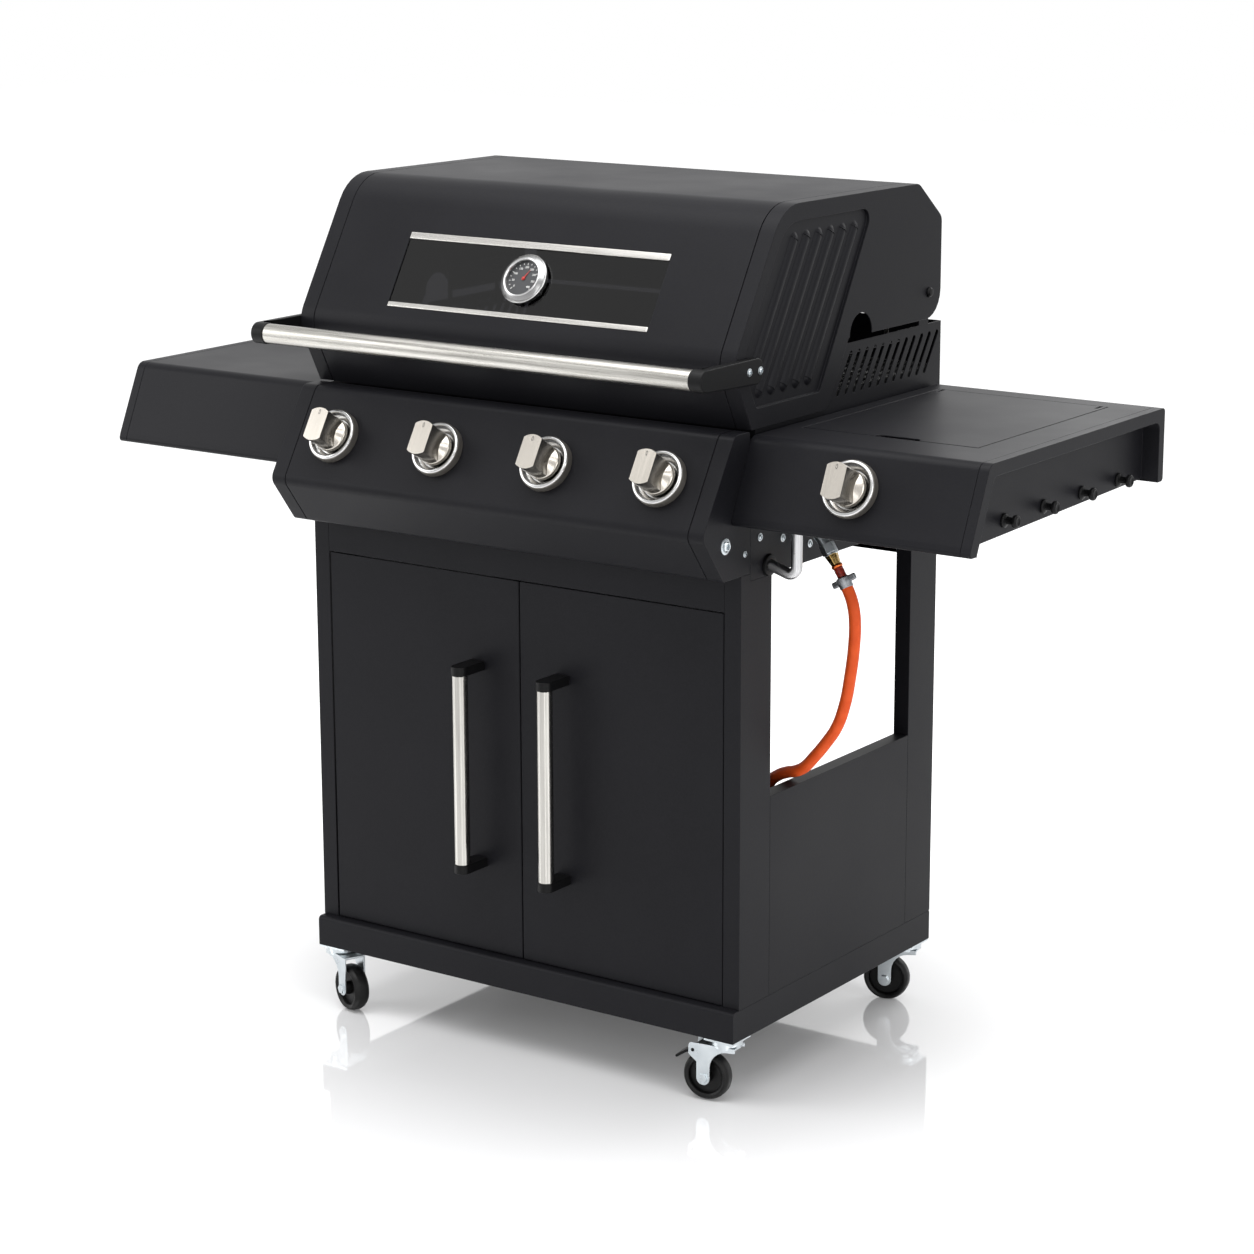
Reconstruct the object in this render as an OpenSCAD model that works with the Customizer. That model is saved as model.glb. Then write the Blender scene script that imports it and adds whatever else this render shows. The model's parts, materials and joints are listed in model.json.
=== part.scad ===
// Gas barbecue grill on a cart: four burners under a hinged lid with a window, a cabinet
// with two doors, a shelf on each side and a side burner under a flush cover on the right.
// Millimetres. X runs across the front, Y from front to back and Z up. The origin is on
// the floor under the middle of the grill.

/* [Cart] */
// Width of the cart over its posts
cart_w = 660; // [640:5:700]
// Depth of the cart over its posts
cart_d = 468; // [460:2:500]
// Thickness of all sheet steel
sheet = 1.5; // [1.2:0.1:1.8]
// Height of the casters from the floor to the base pan
caster_h = 85; // [82:1:100]
// Height of the base pan
base_h = 40; // [34:1:50]
// How far the base pan stands out in front of the doors
base_proud = 13; // [9:1:16]
// Width of the front face of a front post
post_face = 23.5; // [21:0.5:26]
// Depth of a front post
front_post_d = 68; // [60:1:76]
// Width of a rear post
rear_post_w = 22; // [20:0.5:26]
// Depth of a rear post
rear_post_d = 66; // [58:1:74]
// Height of a side panel above the base pan
side_panel_h = 258; // [220:2:290]
// Width of the folded edges of a side panel
panel_edge = 20; // [12:1:24]
// Height of the cross rail over the doors
header_h = 47; // [40:1:56]
// Height of the upper rail at the back
back_rail_h = 48; // [36:1:60]
// Height of the lower rail at the back
low_rail_h = 60; // [40:2:80]

/* [Doors] */
// Height of a door
door_h = 496; // [460:2:530]
// Depth of a door from front to back
door_d = 16; // [13:0.5:18]
// Gap round each door
door_gap = 1.5; // [1.2:0.1:1.8]
// Diameter of the door's pivot pins
pin_d = 5; // [4:0.25:5.5]
// Distance of a pivot pin from the door's outer edge
pin_in = 9; // [8:0.5:10]
// Diameter of a door handle
door_handle_d = 20; // [16:1:24]
// Length of a door handle's tube
door_handle_l = 248; // [200:4:300]
// Distance of a door handle from the middle of the cart
door_handle_x = 66; // [60:1:90]
// Distance of a door handle in front of the door
door_handle_out = 38; // [34:1:48]
// Length of the black cap at each end of a door handle
door_cap_l = 12; // [9:0.5:15]

/* [Control panel] */
// Height of the control panel
panel_h = 172; // [168:1:180]
// Lean of the panel's face from upright
panel_tilt = 31.4; // [29:0.2:33]
// Length of the panel's sloping face
panel_slope = 132; // [126:1:136]
// Width of the separate end cap of the panel and of the lid
end_cap_w = 22.5; // [19:0.5:26]
// Thickness of an end cap's skin
cap_t = 2; // [1.8:0.1:2.4]
// Groove between the panel or the lid and its end cap
cap_groove = 1; // [0.6:0.1:1.4]
// How far an end cap laps behind its neighbour
cap_lap = 6; // [4:1:8]
// Distance between neighbouring knobs
knob_pitch = 166; // [150:1:170]
// Distance of a knob below the panel's crest, along its face
knob_down = 66; // [60:1:72]
// Diameter of a knob's bezel
bezel_d = 68; // [60:1:74]
// Height of a knob's bezel
bezel_h = 12; // [9:0.5:13]
// Diameter of a knob
knob_d = 45; // [40:1:48]
// Distance of a knob's front face from the panel
knob_out = 45; // [40:1:50]
// Width of a knob's grip
grip_w = 31; // [24:1:34]
// Diameter of a valve stem
stem_d = 8; // [6:0.5:9]
// Travel of a pushed knob
push = 3; // [2:0.5:3.5]

/* [Lid] */
// Height of the lid
lid_h = 259; // [250:1:280]
// Height of the crease in front, where the lid's face turns back
lid_nose_h = 80.6; // [74:0.2:88]
// Lean of the lid's face from upright
lid_tilt = 31.2; // [29:0.2:32]
// Height of the lid's lower edge behind the cut-out for the shelf
lid_rear_h = 82; // [80:0.5:84]
// Height of the hinge over the lid's front edge
hinge_h = 115.8; // [112:0.2:120]
// Distance of the hinge in front of the lid's back
hinge_in = 30.2; // [29:0.2:34]
// Diameter of the hinge bolts
hinge_d = 8; // [6:0.5:10]
// Width of the window
window_w = 396; // [340:2:440]
// Height of the window along the lid's face
window_h = 103; // [92:1:110]
// Distance of the window's middle above the crease, along the lid's face
window_up = 84; // [78:1:90]
// Thickness of the window glass
glass_t = 4; // [3:0.5:5]
// Diameter of the thermometer
gauge_d = 65; // [54:1:72]
// Number of ribs on each side of the lid
rib_count = 6; // [4:1:6]
// Distance between neighbouring ribs
rib_pitch = 27.5; // [24:0.5:28]
// Width of a rib
rib_w = 16; // [12:0.5:18]
// Depth of the stamped field on each side of the lid
stamp_depth = 4; // [2:0.25:4.5]
// Diameter of the lid's handle
lid_handle_d = 25; // [20:1:27]
// Height of the lid's handle over the lid's front edge
lid_handle_h = 74; // [70:1:80]
// Distance of the lid's handle in front of the doors
lid_handle_out = 89; // [80:1:96]

/* [Firebox and burners] */
// Gap between the firebox and the outside of the cart, on each side
firebox_in = 6; // [5.5:0.25:8]
// Distance of the firebox's front wall behind the doors
firebox_y = 38; // [34:1:42]
// How far the firebox stands out behind the cart
firebox_back = 10; // [6:1:14]
// Number of slots in each side of the firebox
slot_count = 12; // [8:1:12]
// Diameter of a burner tube
burner_d = 38; // [30:1:44]
// Height of a cooking grate
grate_h = 12; // [8:1:14]
// Width of the grease tray
tray_w = 300; // [240:4:340]
// Depth of the grease tray's pan
tray_h = 18; // [14:1:19]

/* [Shelves] */
// Width of a side shelf
shelf_w = 320; // [300:2:350]
// Distance of the shelves' tops below the panel's crest
shelf_drop = 5; // [3:0.5:8]
// Width of the rim at a shelf's outer end
rim_w = 13; // [11:0.5:16]
// Depth of the recess in a shelf's outer end
rim_recess = 23; // [20:0.5:26]
// Width of the frame round the recess
rim_frame = 16; // [13:0.5:18]
// Distance between neighbouring tool hooks
hook_pitch = 96.5; // [80:0.5:100]
// Width of the side burner's cover
cover_w = 237; // [220:1:250]
// Depth of the side burner's cover
cover_d = 326; // [300:2:334]
// Distance of the cover's front edge behind the doors
cover_y = 101; // [96:1:106]
// Distance of the cover's middle from the middle of the cart
cover_x = 470.5; // [462:0.5:476]
// Distance of the side burner's knob from the middle of the cart
side_knob_x = 481; // [460:0.5:500]

/* [Casters] */
// Diameter of a caster's wheel
wheel_d = 62; // [56:1:64]
// Width of a caster's wheel
wheel_w = 22; // [18:0.5:26]
// Distance of the axle behind the swivel pin
trail = 26; // [22:1:30]
// Distance of a caster's swivel pin from the side of the cart
caster_in = 22; // [21:0.5:26]

/* [Hidden] */
$fn = 48;

coat = "#2b2b2d";
black = "#161617";
steel = "#c6c4c0";
zinc = "#b9bcc0";

// Distance from the origin forward to the front of the doors
front_y = -190;
// Running fit of a pin or shaft in its bore, on the radius
fit = 0.05;
// Gap between parts that lie side by side
seam = 0.3;

// Levels, from the floor up
base_top = caster_h + base_h;
door_z = base_top + door_gap;
header_z = door_z + door_h + door_gap;
panel_z = header_z + header_h;
crest_z = panel_z + panel_h;
lid_z = crest_z + 1;
rail_z = panel_z - 9;
ledge_z = panel_z + 49;
shelf_z = crest_z - shelf_drop;
rail_top = shelf_z - 4;

// Widths, from the middle out
half_w = cart_w / 2;
post_x = half_w - post_face;
seam_x = half_w - end_cap_w;
lid_x = half_w + 1;
lid_seam_x = lid_x - end_cap_w;
firebox_x = half_w - firebox_in;
shelf_x = half_w + shelf_w;
base_d = cart_d + base_proud;
back_y = cart_d + firebox_back;

// ---- Outlines -------------------------------------------------------------------

function unit(v) = v / norm(v);
function left_of(v) = [-v.y, v.x];
function flat(p) = [p.x, p.y];

// The points that round the corner b between a and c with radius r
function corner(a, b, c, r, steps = 6) = r == 0 ? [b] :
    let (u = unit(a - b),
         w = unit(c - b),
         half = acos(u * w) / 2,
         middle = b + unit(u + w) * r / sin(half),
         first = b + u * r / tan(half) - middle,
         last = b + w * r / tan(half) - middle,
         turn = 180 - 2 * half)
    [for (i = [0:steps])
        middle + (first * sin(turn * (1 - i / steps)) + last * sin(turn * i / steps)) / sin(turn)];

// An open path or a closed loop through corners that are given as [y, z, radius]
function rounded_path(p) = [for (i = [0:len(p) - 1])
    each i == 0 || i == len(p) - 1 ? [flat(p[i])]
        : corner(flat(p[i - 1]), flat(p[i]), flat(p[i + 1]), p[i].z)];
function rounded_loop(p) = let (n = len(p)) [for (i = [0:n - 1])
    each corner(flat(p[(i + n - 1) % n]), flat(p[i]), flat(p[(i + 1) % n]), p[i].z)];

// The path moved to its left by t
function beside(p, t) = let (last = len(p) - 1) [for (i = [0:last])
    let (n0 = left_of(unit(i == 0 ? p[1] - p[0] : p[i] - p[i - 1])),
         n1 = left_of(unit(i == last ? p[i] - p[i - 1] : p[i + 1] - p[i])))
    p[i] + t * (n0 + n1) / (1 + n0 * n1)];

// Section of sheet that follows a path, t thick to the left of it
module folded(path, t) {
    inner = beside(path, t);
    polygon(concat(path, [for (i = [len(path) - 1:-1:0]) inner[i]]));
}

// A (y, z) outline drawn out from x0 to x1
module across(x0, x1) translate([x0, 0, 0]) rotate([90, 0, 90]) linear_extrude(x1 - x0) children();

// An (x, z) outline drawn out from y0 to y1
module lengthwise(y0, y1) translate([0, y1, 0]) rotate([90, 0, 0]) linear_extrude(y1 - y0) children();

module placed() translate([0, front_y, 0]) children();

module both_sides() {
    children();
    mirror([1, 0, 0]) children();
}

module block(from, to) translate(from) cube(to - from);

// A rod from a to b
module rod(a, b, r1, r2) {
    d = b - a;
    translate(a) rotate([0, acos(d.z / norm(d)), atan2(d.y, d.x)])
        cylinder(h = norm(d), r1 = r1, r2 = is_undef(r2) ? r1 : r2);
}

// A bent tube with round elbows
module bent_rod(points, r) {
    for (i = [0:len(points) - 2]) rod(points[i], points[i + 1], r);
    for (i = [1:len(points) - 2]) translate(points[i]) sphere(r - 0.05);
}

// A flat slot between two (y, z) points
module slot(a, b, width) {
    d = unit(b - a);
    side = left_of(d) * width / 2;
    polygon([a + side, b + side, b - side, a - side]);
    translate(a) circle(width / 2);
    translate(b) circle(width / 2);
}

// ---- Cart -----------------------------------------------------------------------

caster_y = [8, cart_d - caster_in];
caster_x = half_w - caster_in;
pin_x = half_w - post_face - door_gap - pin_in;
pin_y = 4.5;
stem_bore = 6;

base_path = rounded_path([[-base_proud, caster_h, 0], [-base_proud, base_top, 5],
    [cart_d, base_top, 3], [cart_d, caster_h, 0]]);

module base_pan() color(coat) placed() difference() {
    union() {
        across(-half_w, half_w) folded(base_path, -sheet);
        both_sides() across(half_w - sheet, half_w) polygon(base_path);
        both_sides() block([half_w - 70, -base_proud, caster_h], [half_w, cart_d, caster_h + sheet]);
        block([-half_w, -base_proud, caster_h], [half_w, 22 - base_proud, caster_h + sheet]);
        block([-half_w, cart_d - 22, caster_h], [half_w, cart_d, caster_h + sheet]);
    }
    for (side = [-1, 1]) {
        translate([side * pin_x, pin_y, base_top - 2 * sheet]) cylinder(h = 4 * sheet, d = pin_d + 2 * fit);
        for (y = caster_y) translate([side * caster_x, y, caster_h - 1])
            cylinder(h = sheet + 2, d = stem_bore);
    }
}

race_d = 40;
race_z = caster_h - 8;
king_d = 10;

module caster_mount() {
    difference() {
        union() {
            block([-21, -21, caster_h - 2.5], [21, 21, caster_h]);
            translate([0, 0, race_z]) cylinder(h = caster_h - 2.5 - race_z, d = race_d);
        }
        translate([0, 0, race_z + 3]) cylinder(h = 10, d = stem_bore + 4);
    }
    translate([0, 0, race_z - 8]) cylinder(h = 11, d = king_d);
    translate([0, 0, race_z - 9]) cylinder(h = 3, d = king_d + 5);
    translate([0, 0, race_z + 3]) cylinder(h = 8 + sheet + 6, d = stem_bore - 2 * fit);
    translate([0, 0, caster_h + sheet]) cylinder(h = 5, d = 14, $fn = 6);
}

module caster_mounts() color(zinc) placed()
    for (side = [-1, 1], y = caster_y) translate([side * caster_x, y, 0]) caster_mount();

// A post folded from sheet, open towards the middle of the cart
module post(width, y0, y1, top) difference() {
    block([half_w - width, y0, base_top], [half_w, y1, top]);
    block([half_w - width - 1, y0 + sheet, base_top - 1], [half_w - sheet, y1 - sheet, top + 1]);
}

rail_y = 20;

module front_posts() color(coat) placed() both_sides() difference() {
    post(post_face, 0, front_post_d, panel_z);
    block([post_x - 1, rail_y, rail_z], [half_w + 1, front_post_d + 1, panel_z + 1]);
}

module rear_posts() color(coat) placed() both_sides()
    post(rear_post_w, cart_d - rear_post_d, cart_d, rail_z);

module side_panels() color(coat) placed() both_sides() difference() {
    y1 = cart_d - rear_post_d;
    top = base_top + side_panel_h;
    block([half_w - panel_edge, front_post_d, base_top], [half_w, y1, top]);
    block([half_w - panel_edge - 1, front_post_d + sheet, base_top + sheet],
        [half_w - sheet, y1 - sheet, top - sheet]);
}

// Where the gas lines pass through the right rail, as (y, z)
feed_at = [150, panel_z + 34];
branch_at = [60, panel_z + 3.5];
line_r = 5;
branch_r = 7;
feed_x = half_w - 14;

module side_rail() {
    block([half_w - sheet, rail_y, rail_z], [half_w, cart_d, rail_top]);
    block([half_w - 20, rail_y, rail_z], [half_w, cart_d, rail_z + sheet]);
    block([half_w - 24, rail_y, ledge_z - sheet], [half_w, cart_d, ledge_z]);
}

module cross_rails() color(coat) placed() {
    header = [[22, header_z], [0, header_z], [0, panel_z], [30, panel_z]];
    back_x = half_w - rear_post_w;
    difference() {
        across(-post_x, post_x) folded(header, -sheet);
        for (side = [-1, 1]) translate([side * pin_x, pin_y, header_z - sheet])
            cylinder(h = 3 * sheet, d = pin_d + 2 * fit);
    }
    difference() {
        side_rail();
        for (hole = [[feed_at, line_r], [branch_at, branch_r]])
            translate([half_w - 5, hole[0].x, hole[0].y]) rotate([0, 90, 0])
                cylinder(h = 10, r = hole[1] + seam);
    }
    mirror([1, 0, 0]) side_rail();
    for (level = [[rail_z - back_rail_h, rail_z], [base_top, base_top + low_rail_h]])
        across(-back_x, back_x) folded([[cart_d - 25, level.x], [cart_d, level.x],
            [cart_d, level.y], [cart_d - 25, level.y]], sheet);
}

// ---- Firebox --------------------------------------------------------------------

box_front_h = 29;
box_rear_h = 75;
runner_drop = 3 + seam + sheet;
floor_z = ledge_z - 26;
grate_z = crest_z + 7;
tamer_z = crest_z - 31;
rack_ledge_z = crest_z + 62;
rack_y = [262, 372];
rack_h = 56;
hinge_y = back_y - 14.5 - hinge_in;
hinge_z = lid_z + hinge_h;

box_side = [[firebox_y, ledge_z], [firebox_y, crest_z + box_front_h], [212, crest_z + box_front_h],
    [240, crest_z + box_rear_h], [back_y, crest_z + box_rear_h], [back_y, ledge_z]];
box_floor = [[firebox_y, ledge_z], [110, floor_z], [cart_d - 68, floor_z], [back_y, ledge_z]];

module firebox_side() {
    slant = [-31, -46];
    ear_r = 15;
    difference() {
        across(firebox_x - sheet, firebox_x) polygon(box_side);
        for (i = [0:slot_count - 1]) across(firebox_x - 5, firebox_x + 5) {
            top = [back_y - 10 - 19.3 * i, crest_z + box_rear_h - 14];
            slot(top, top + slant, 6.5);
        }
    }
    across(firebox_x - 20 - sheet, firebox_x - 20) polygon(box_floor);
    block([firebox_x - 20 - sheet, firebox_y, ledge_z], [firebox_x, back_y, ledge_z + sheet]);
    block([firebox_x - 28, rack_y[0] - 12, rack_ledge_z - sheet], [firebox_x, rack_y[1] + 8, rack_ledge_z]);
    difference() {
        across(firebox_x - 3, firebox_x) {
            translate([hinge_y, hinge_z]) circle(ear_r);
            polygon([[hinge_y - 12, hinge_z], [hinge_y + 12, hinge_z],
                [hinge_y + 12, crest_z + box_rear_h - 5], [hinge_y - 12, crest_z + box_rear_h - 5]]);
        }
        translate([firebox_x - 5, hinge_y, hinge_z]) rotate([0, 90, 0])
            cylinder(h = 10, d = hinge_d + 2 * fit);
    }
}

neck_d = 22;
slope_dir = [-sin(panel_tilt), -cos(panel_tilt)];
slope_out = [-cos(panel_tilt), sin(panel_tilt)];
crest = [-15, crest_z];
knob_at = crest + slope_dir * knob_down;
valve_depth = 40;
valve_at = knob_at - slope_out * valve_depth;
knob_xs = [for (i = [-1.5:1:1.5]) i * knob_pitch];

module firebox() color(coat) placed() difference() {
    inside_x = firebox_x - sheet;
    union() {
        both_sides() firebox_side();
        block([-inside_x, firebox_y, ledge_z], [inside_x, firebox_y + sheet, crest_z + box_front_h]);
        block([-inside_x, back_y - sheet, ledge_z], [inside_x, back_y, crest_z + box_rear_h]);
        across(-firebox_x + 20, firebox_x - 20) folded(box_floor, sheet);
        both_sides() {
            block([tray_w / 2 + 9, 110, floor_z - runner_drop], [tray_w / 2 + 9 + sheet, cart_d - 68, floor_z]);
            block([tray_w / 2 + 2, 110, floor_z - runner_drop],
                [tray_w / 2 + 9, cart_d - 68, floor_z - runner_drop + sheet]);
        }
        for (z = [grate_z, tamer_z]) {
            block([-inside_x, firebox_y, z - sheet], [inside_x, firebox_y + 16, z]);
            block([-inside_x, back_y - 16, z - sheet], [inside_x, back_y, z]);
        }
    }
    block([-tray_w / 2 + 14, 130, floor_z - 5], [tray_w / 2 - 14, cart_d - 88, floor_z + 5]);
    for (x = knob_xs) translate([x, firebox_y - 5, valve_at.y]) rotate([-90, 0, 0])
        cylinder(h = 12, d = neck_d + 2 * fit);
}

module burner() {
    wall = 1;
    r = burner_d / 2;
    neck_r = neck_d / 2;
    start = 12;
    end = back_y - sheet - 40;
    translate([0, 0, valve_at.y]) rotate([-90, 0, 0]) {
        rotate_extrude() polygon([[neck_r - wall, start], [neck_r, start], [neck_r, 62], [r, 90], [r, end],
            [0, end], [0, end - wall], [r - wall, end - wall], [r - wall, 90], [neck_r - wall, 62]]);
        translate([0, 0, end]) cylinder(h = 40, r = 4);
    }
}

module burners() color(steel) placed() for (x = knob_xs) translate([x, 0, 0]) burner();

module flame_tamers() color(steel) placed() for (x = knob_xs) translate([x, 0, 0])
    lengthwise(firebox_y + 3, back_y - 3)
        folded([[-50, tamer_z + sheet], [-3, tamer_z + 26], [3, tamer_z + 26], [50, tamer_z + sheet]], -sheet);

module cooking_grates() color(black) placed() {
    room = 2 * (firebox_x - sheet);
    width = (room - 4 * 2) / 3;
    y0 = firebox_y + 4;
    y1 = back_y - 4;
    rim = 10;
    bar = 7;
    bars = 11;
    pitch = (width - 2 * rim + bar) / bars;
    row = (y1 - y0 - 2 * rim - 2 * bar) / 3;
    for (g = [0:2]) translate([-room / 2 + 2 + g * (width + 2), 0, grate_z]) difference() {
        block([0, y0, 0], [width, y1, grate_h]);
        for (i = [0:bars - 1], j = [0:2])
            translate([rim + i * pitch, y0 + rim + j * (row + bar), -1]) cube([pitch - bar, row, grate_h + 2]);
    }
}

module warming_rack() color(steel) placed() {
    x1 = firebox_x - 14;
    rack_z = rack_ledge_z + rack_h;
    y0 = rack_y[0];
    y1 = rack_y[1];
    bar = 6;
    wires = 24;
    difference() {
        block([-x1, y0, rack_z], [x1, y1, rack_z + bar]);
        block([-x1 + bar, y0 + bar, rack_z - 1], [x1 - bar, y1 - bar, rack_z + bar + 1]);
    }
    for (i = [1:wires - 1]) translate([-x1 + i * 2 * x1 / wires, y0 + bar - 1, rack_z + bar / 2])
        rotate([-90, 0, 0]) cylinder(h = y1 - y0 - 2 * bar + 2, r = 2);
    for (side = [-1, 1], y = [y0 + 3, y1 - 3])
        translate([side * (x1 - 3), y, rack_ledge_z]) cylinder(h = rack_z - rack_ledge_z + 1, r = 3);
}

module grease_tray() color(steel) placed() {
    top = floor_z - 2;
    y0 = 112;
    y1 = cart_d - 72;
    r = tray_w / 2;
    difference() {
        block([-r, y0, top - tray_h], [r, y1, top]);
        block([-r + 1, y0 + 1, top - tray_h + 1], [r - 1, y1 - 1, top + 1]);
    }
    both_sides() block([r - 1, y0, top - 1], [r + 8, y1, top]);
    block([-40, y1 - 1, top - 1], [40, y1 + 24, top]);
    block([-40, y1 + 23, top - 12], [40, y1 + 24, top]);
}

// ---- Control panel --------------------------------------------------------------

belly = crest + slope_dir * panel_slope;
panel_face = [[crest.x, crest.y, 13], [belly.x, belly.y, 14], [-39, panel_z, 8], [12.7, panel_z, 0]];
panel_path = rounded_path(concat([[18, crest_z - 14, 0], [18, crest_z, 3]], panel_face));
stem_hole = stem_d + 4;

// The frame of a knob: Z points out of the panel and Y up along its face
module on_panel(x) translate([x, knob_at.x, knob_at.y]) rotate([90 - panel_tilt, 0, 0]) children();

module control_panel() color(coat) placed() difference() {
    across(-seam_x, seam_x) folded(panel_path, sheet);
    for (x = knob_xs) on_panel(x) translate([0, 0, -4]) cylinder(h = 8, d = stem_hole);
}

module panel_ends() color(coat) placed() both_sides() difference() {
    lap_path = beside(rounded_path(concat([[14, crest_z, 0]], panel_face)), sheet + fit);
    rear = rail_y - seam;
    union() {
        across(seam_x + cap_groove, half_w) folded(panel_path, cap_t);
        across(seam_x - cap_lap, seam_x + cap_groove + cap_lap) folded(lap_path, sheet);
        across(half_w - sheet, half_w) polygon(concat(panel_path, [[rear, panel_z], [rear, crest_z - 14]]));
    }
    translate([half_w - 5, -35, panel_z + 43]) rotate([0, 90, 0]) cylinder(h = 10, d = 6);
    translate([half_w - 5, 8, panel_z + 26]) rotate([0, 90, 0]) cylinder(h = 10, d = 5);
}

// The shelves' front edge, as (y, z), and the lean of the fascia under it
shelf_edge = [21, shelf_z];
fascia_tilt = 24.5;
side_knob_at = shelf_edge - 50 * [sin(fascia_tilt), cos(fascia_tilt)];
module on_fascia(x) translate([x, side_knob_at.x, side_knob_at.y]) rotate([90 - fascia_tilt, 0, 0]) children();

module on_knob(i) if (i < 4) on_panel(knob_xs[i]) children(); else on_fascia(side_knob_x) children();

module bezel() {
    r = bezel_d / 2;
    hole = stem_hole / 2;
    rotate_extrude() polygon([[hole, fit], [r, fit], [r, bezel_h - 3], [r - 0.8, bezel_h - 0.8],
        [r - 2.5, bezel_h], [r - 4.5, bezel_h - 0.8], [r - 6, bezel_h - 3], [r - 6, 4],
        [knob_d / 2 + 1, 4], [knob_d / 2 + 1, 2], [hole, 2]]);
}

module knob_bezels() color(steel) placed() for (i = [0:4]) on_knob(i) bezel();

stem_in = 36;
stem_out = 28;

module valve_stem(i) color(steel) placed() on_knob(i)
    translate([0, 0, -stem_in]) cylinder(h = stem_in + stem_out, d = stem_d);

module knob(i) color(steel) placed() on_knob(i) difference() {
    base = 3 + push;
    union() {
        translate([0, 0, base]) cylinder(h = knob_out * 0.45 - base, d = knob_d);
        intersection() {
            translate([0, 0, base]) cylinder(h = knob_out - base, d = knob_d - 1);
            block([-grip_w / 2, -knob_d, base], [grip_w / 2, knob_d, knob_out]);
        }
    }
    translate([0, 0, -1]) cylinder(h = stem_out + 1, d = stem_d + 2 * fit);
    block([-1, knob_d / 2 - 7, knob_out - 0.8], [1, knob_d / 2 - 2, knob_out + 1]);
}

// A gas valve behind a knob: its stem runs in the bore
valve_r = 13;
module valve() difference() {
    union() {
        translate([0, 0, -valve_depth - 14]) cylinder(h = 28, r = valve_r);
        translate([0, 0, -valve_depth + 13]) cylinder(h = 8, r = 9);
    }
    translate([0, 0, -stem_in - push - 1]) cylinder(h = 30, d = stem_d + 2 * fit);
}

side_out = [-cos(fascia_tilt), sin(fascia_tilt)];
side_valve_at = side_knob_at - side_out * valve_depth;

module gas_manifold() color(zinc) placed() {
    pipe_r = 8;
    pipe_z = valve_at.y - 19;
    end_x = feed_x - line_r - 14;
    outlet = firebox_y - 18;
    for (x = knob_xs) {
        on_panel(x) valve();
        rod([x, valve_at.x + 8, valve_at.y], [x, outlet, valve_at.y], 4);
    }
    rod([-end_x, valve_at.x, pipe_z], [end_x, valve_at.x, pipe_z], pipe_r);
    for (side = [-1, 1]) block([side * knob_pitch - 1.5, valve_at.x - 10, panel_z + sheet],
        [side * knob_pitch + 1.5, valve_at.x + 10, pipe_z]);
    bent_rod([[end_x - 1, valve_at.x, pipe_z], [feed_x, valve_at.x, pipe_z], [feed_x, valve_at.x, feed_at.y],
        [feed_x, feed_at.x, feed_at.y], [half_w, feed_at.x, feed_at.y]], line_r);
    on_fascia(side_knob_x) valve();
    rod([side_knob_x, side_valve_at.x + 8, side_valve_at.y],
        [side_knob_x, cover_y - 18, side_valve_at.y], 4);
}

// ---- Shelves --------------------------------------------------------------------

shelf_back = cart_d - 3;
fascia_end = shelf_edge - [sin(fascia_tilt), cos(fascia_tilt)] * 99;
shelf_bend = 5;
shelf_lip = 14;
shelf_low = shelf_z - 92;
shelf_path = rounded_path([[shelf_back - shelf_lip, shelf_low, 0], [shelf_back, shelf_low, shelf_bend],
    [shelf_back, shelf_z, shelf_bend], [shelf_edge.x, shelf_edge.y, 14],
    [fascia_end.x, fascia_end.y, shelf_bend], [fascia_end.x - 4, fascia_end.y - 12, shelf_bend],
    [fascia_end.x + 12, fascia_end.y - 12, 0]]);

module shelf_body() {
    plate = beside(shelf_path, sheet / 2);
    across(half_w, shelf_x - rim_w - seam) folded(shelf_path, sheet);
    across(half_w, half_w + sheet) polygon(plate);
}

module shelf_left() color(coat) placed() mirror([1, 0, 0]) shelf_body();

cover_gap = 1;
cover_rear_gap = 2;
cover_x0 = cover_x - cover_w / 2;
cover_x1 = cover_x + cover_w / 2;
cover_y1 = cover_y + cover_d;

module shelf_right() color(coat) placed() difference() {
    shelf_body();
    block([cover_x0 - cover_gap, cover_y - cover_gap, shelf_z - 5],
        [cover_x1 + cover_gap, cover_y1 + cover_rear_gap, shelf_z + 5]);
    on_fascia(side_knob_x) translate([0, 0, -4]) cylinder(h = 8, d = stem_hole);
}

// The end cap of a shelf: a frame round a recess that is open below
module shelf_ends() color(coat) placed() both_sides() {
    rim_t = 2.5;
    liner = beside(shelf_path, sheet + seam);
    inset = shelf_edge + [rim_frame / cos(fascia_tilt) - rim_frame * tan(fascia_tilt), -rim_frame];
    foot = fascia_end + [13.5, -12];
    rear = shelf_back - shelf_lip;
    recess = rounded_path([[foot.x, foot.y, 0], [inset.x, inset.y, 8], [rear, inset.y, 10],
        [rear, shelf_low + sheet + seam, 0]]);
    across(shelf_x - rim_w, shelf_x) folded(shelf_path, rim_t);
    across(shelf_x - rim_t, shelf_x) difference() {
        polygon(shelf_path);
        polygon(concat(recess, [[rear, foot.y - 9], [foot.x, foot.y - 9]]));
    }
    across(shelf_x - rim_recess, shelf_x - 1) folded(recess, sheet);
    across(shelf_x - rim_recess - sheet, shelf_x - rim_w + 1) folded(liner, sheet);
    across(shelf_x - rim_recess - sheet, shelf_x - rim_recess) polygon(beside(liner, sheet / 2));
}

hook_y = 97;
hook_z = shelf_z - 80;

module tool_hooks() color(black) placed() for (i = [0:3])
    translate([shelf_x - rim_recess, hook_y + i * hook_pitch, hook_z]) rotate([0, 90, 0])
        rotate_extrude() polygon([[0, 0], [8, 0], [8, 3], [4.5, 4.5], [4.5, 12], [7.5, 14], [7.5, 18],
            [5.5, 20], [0, 20]]);

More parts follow.
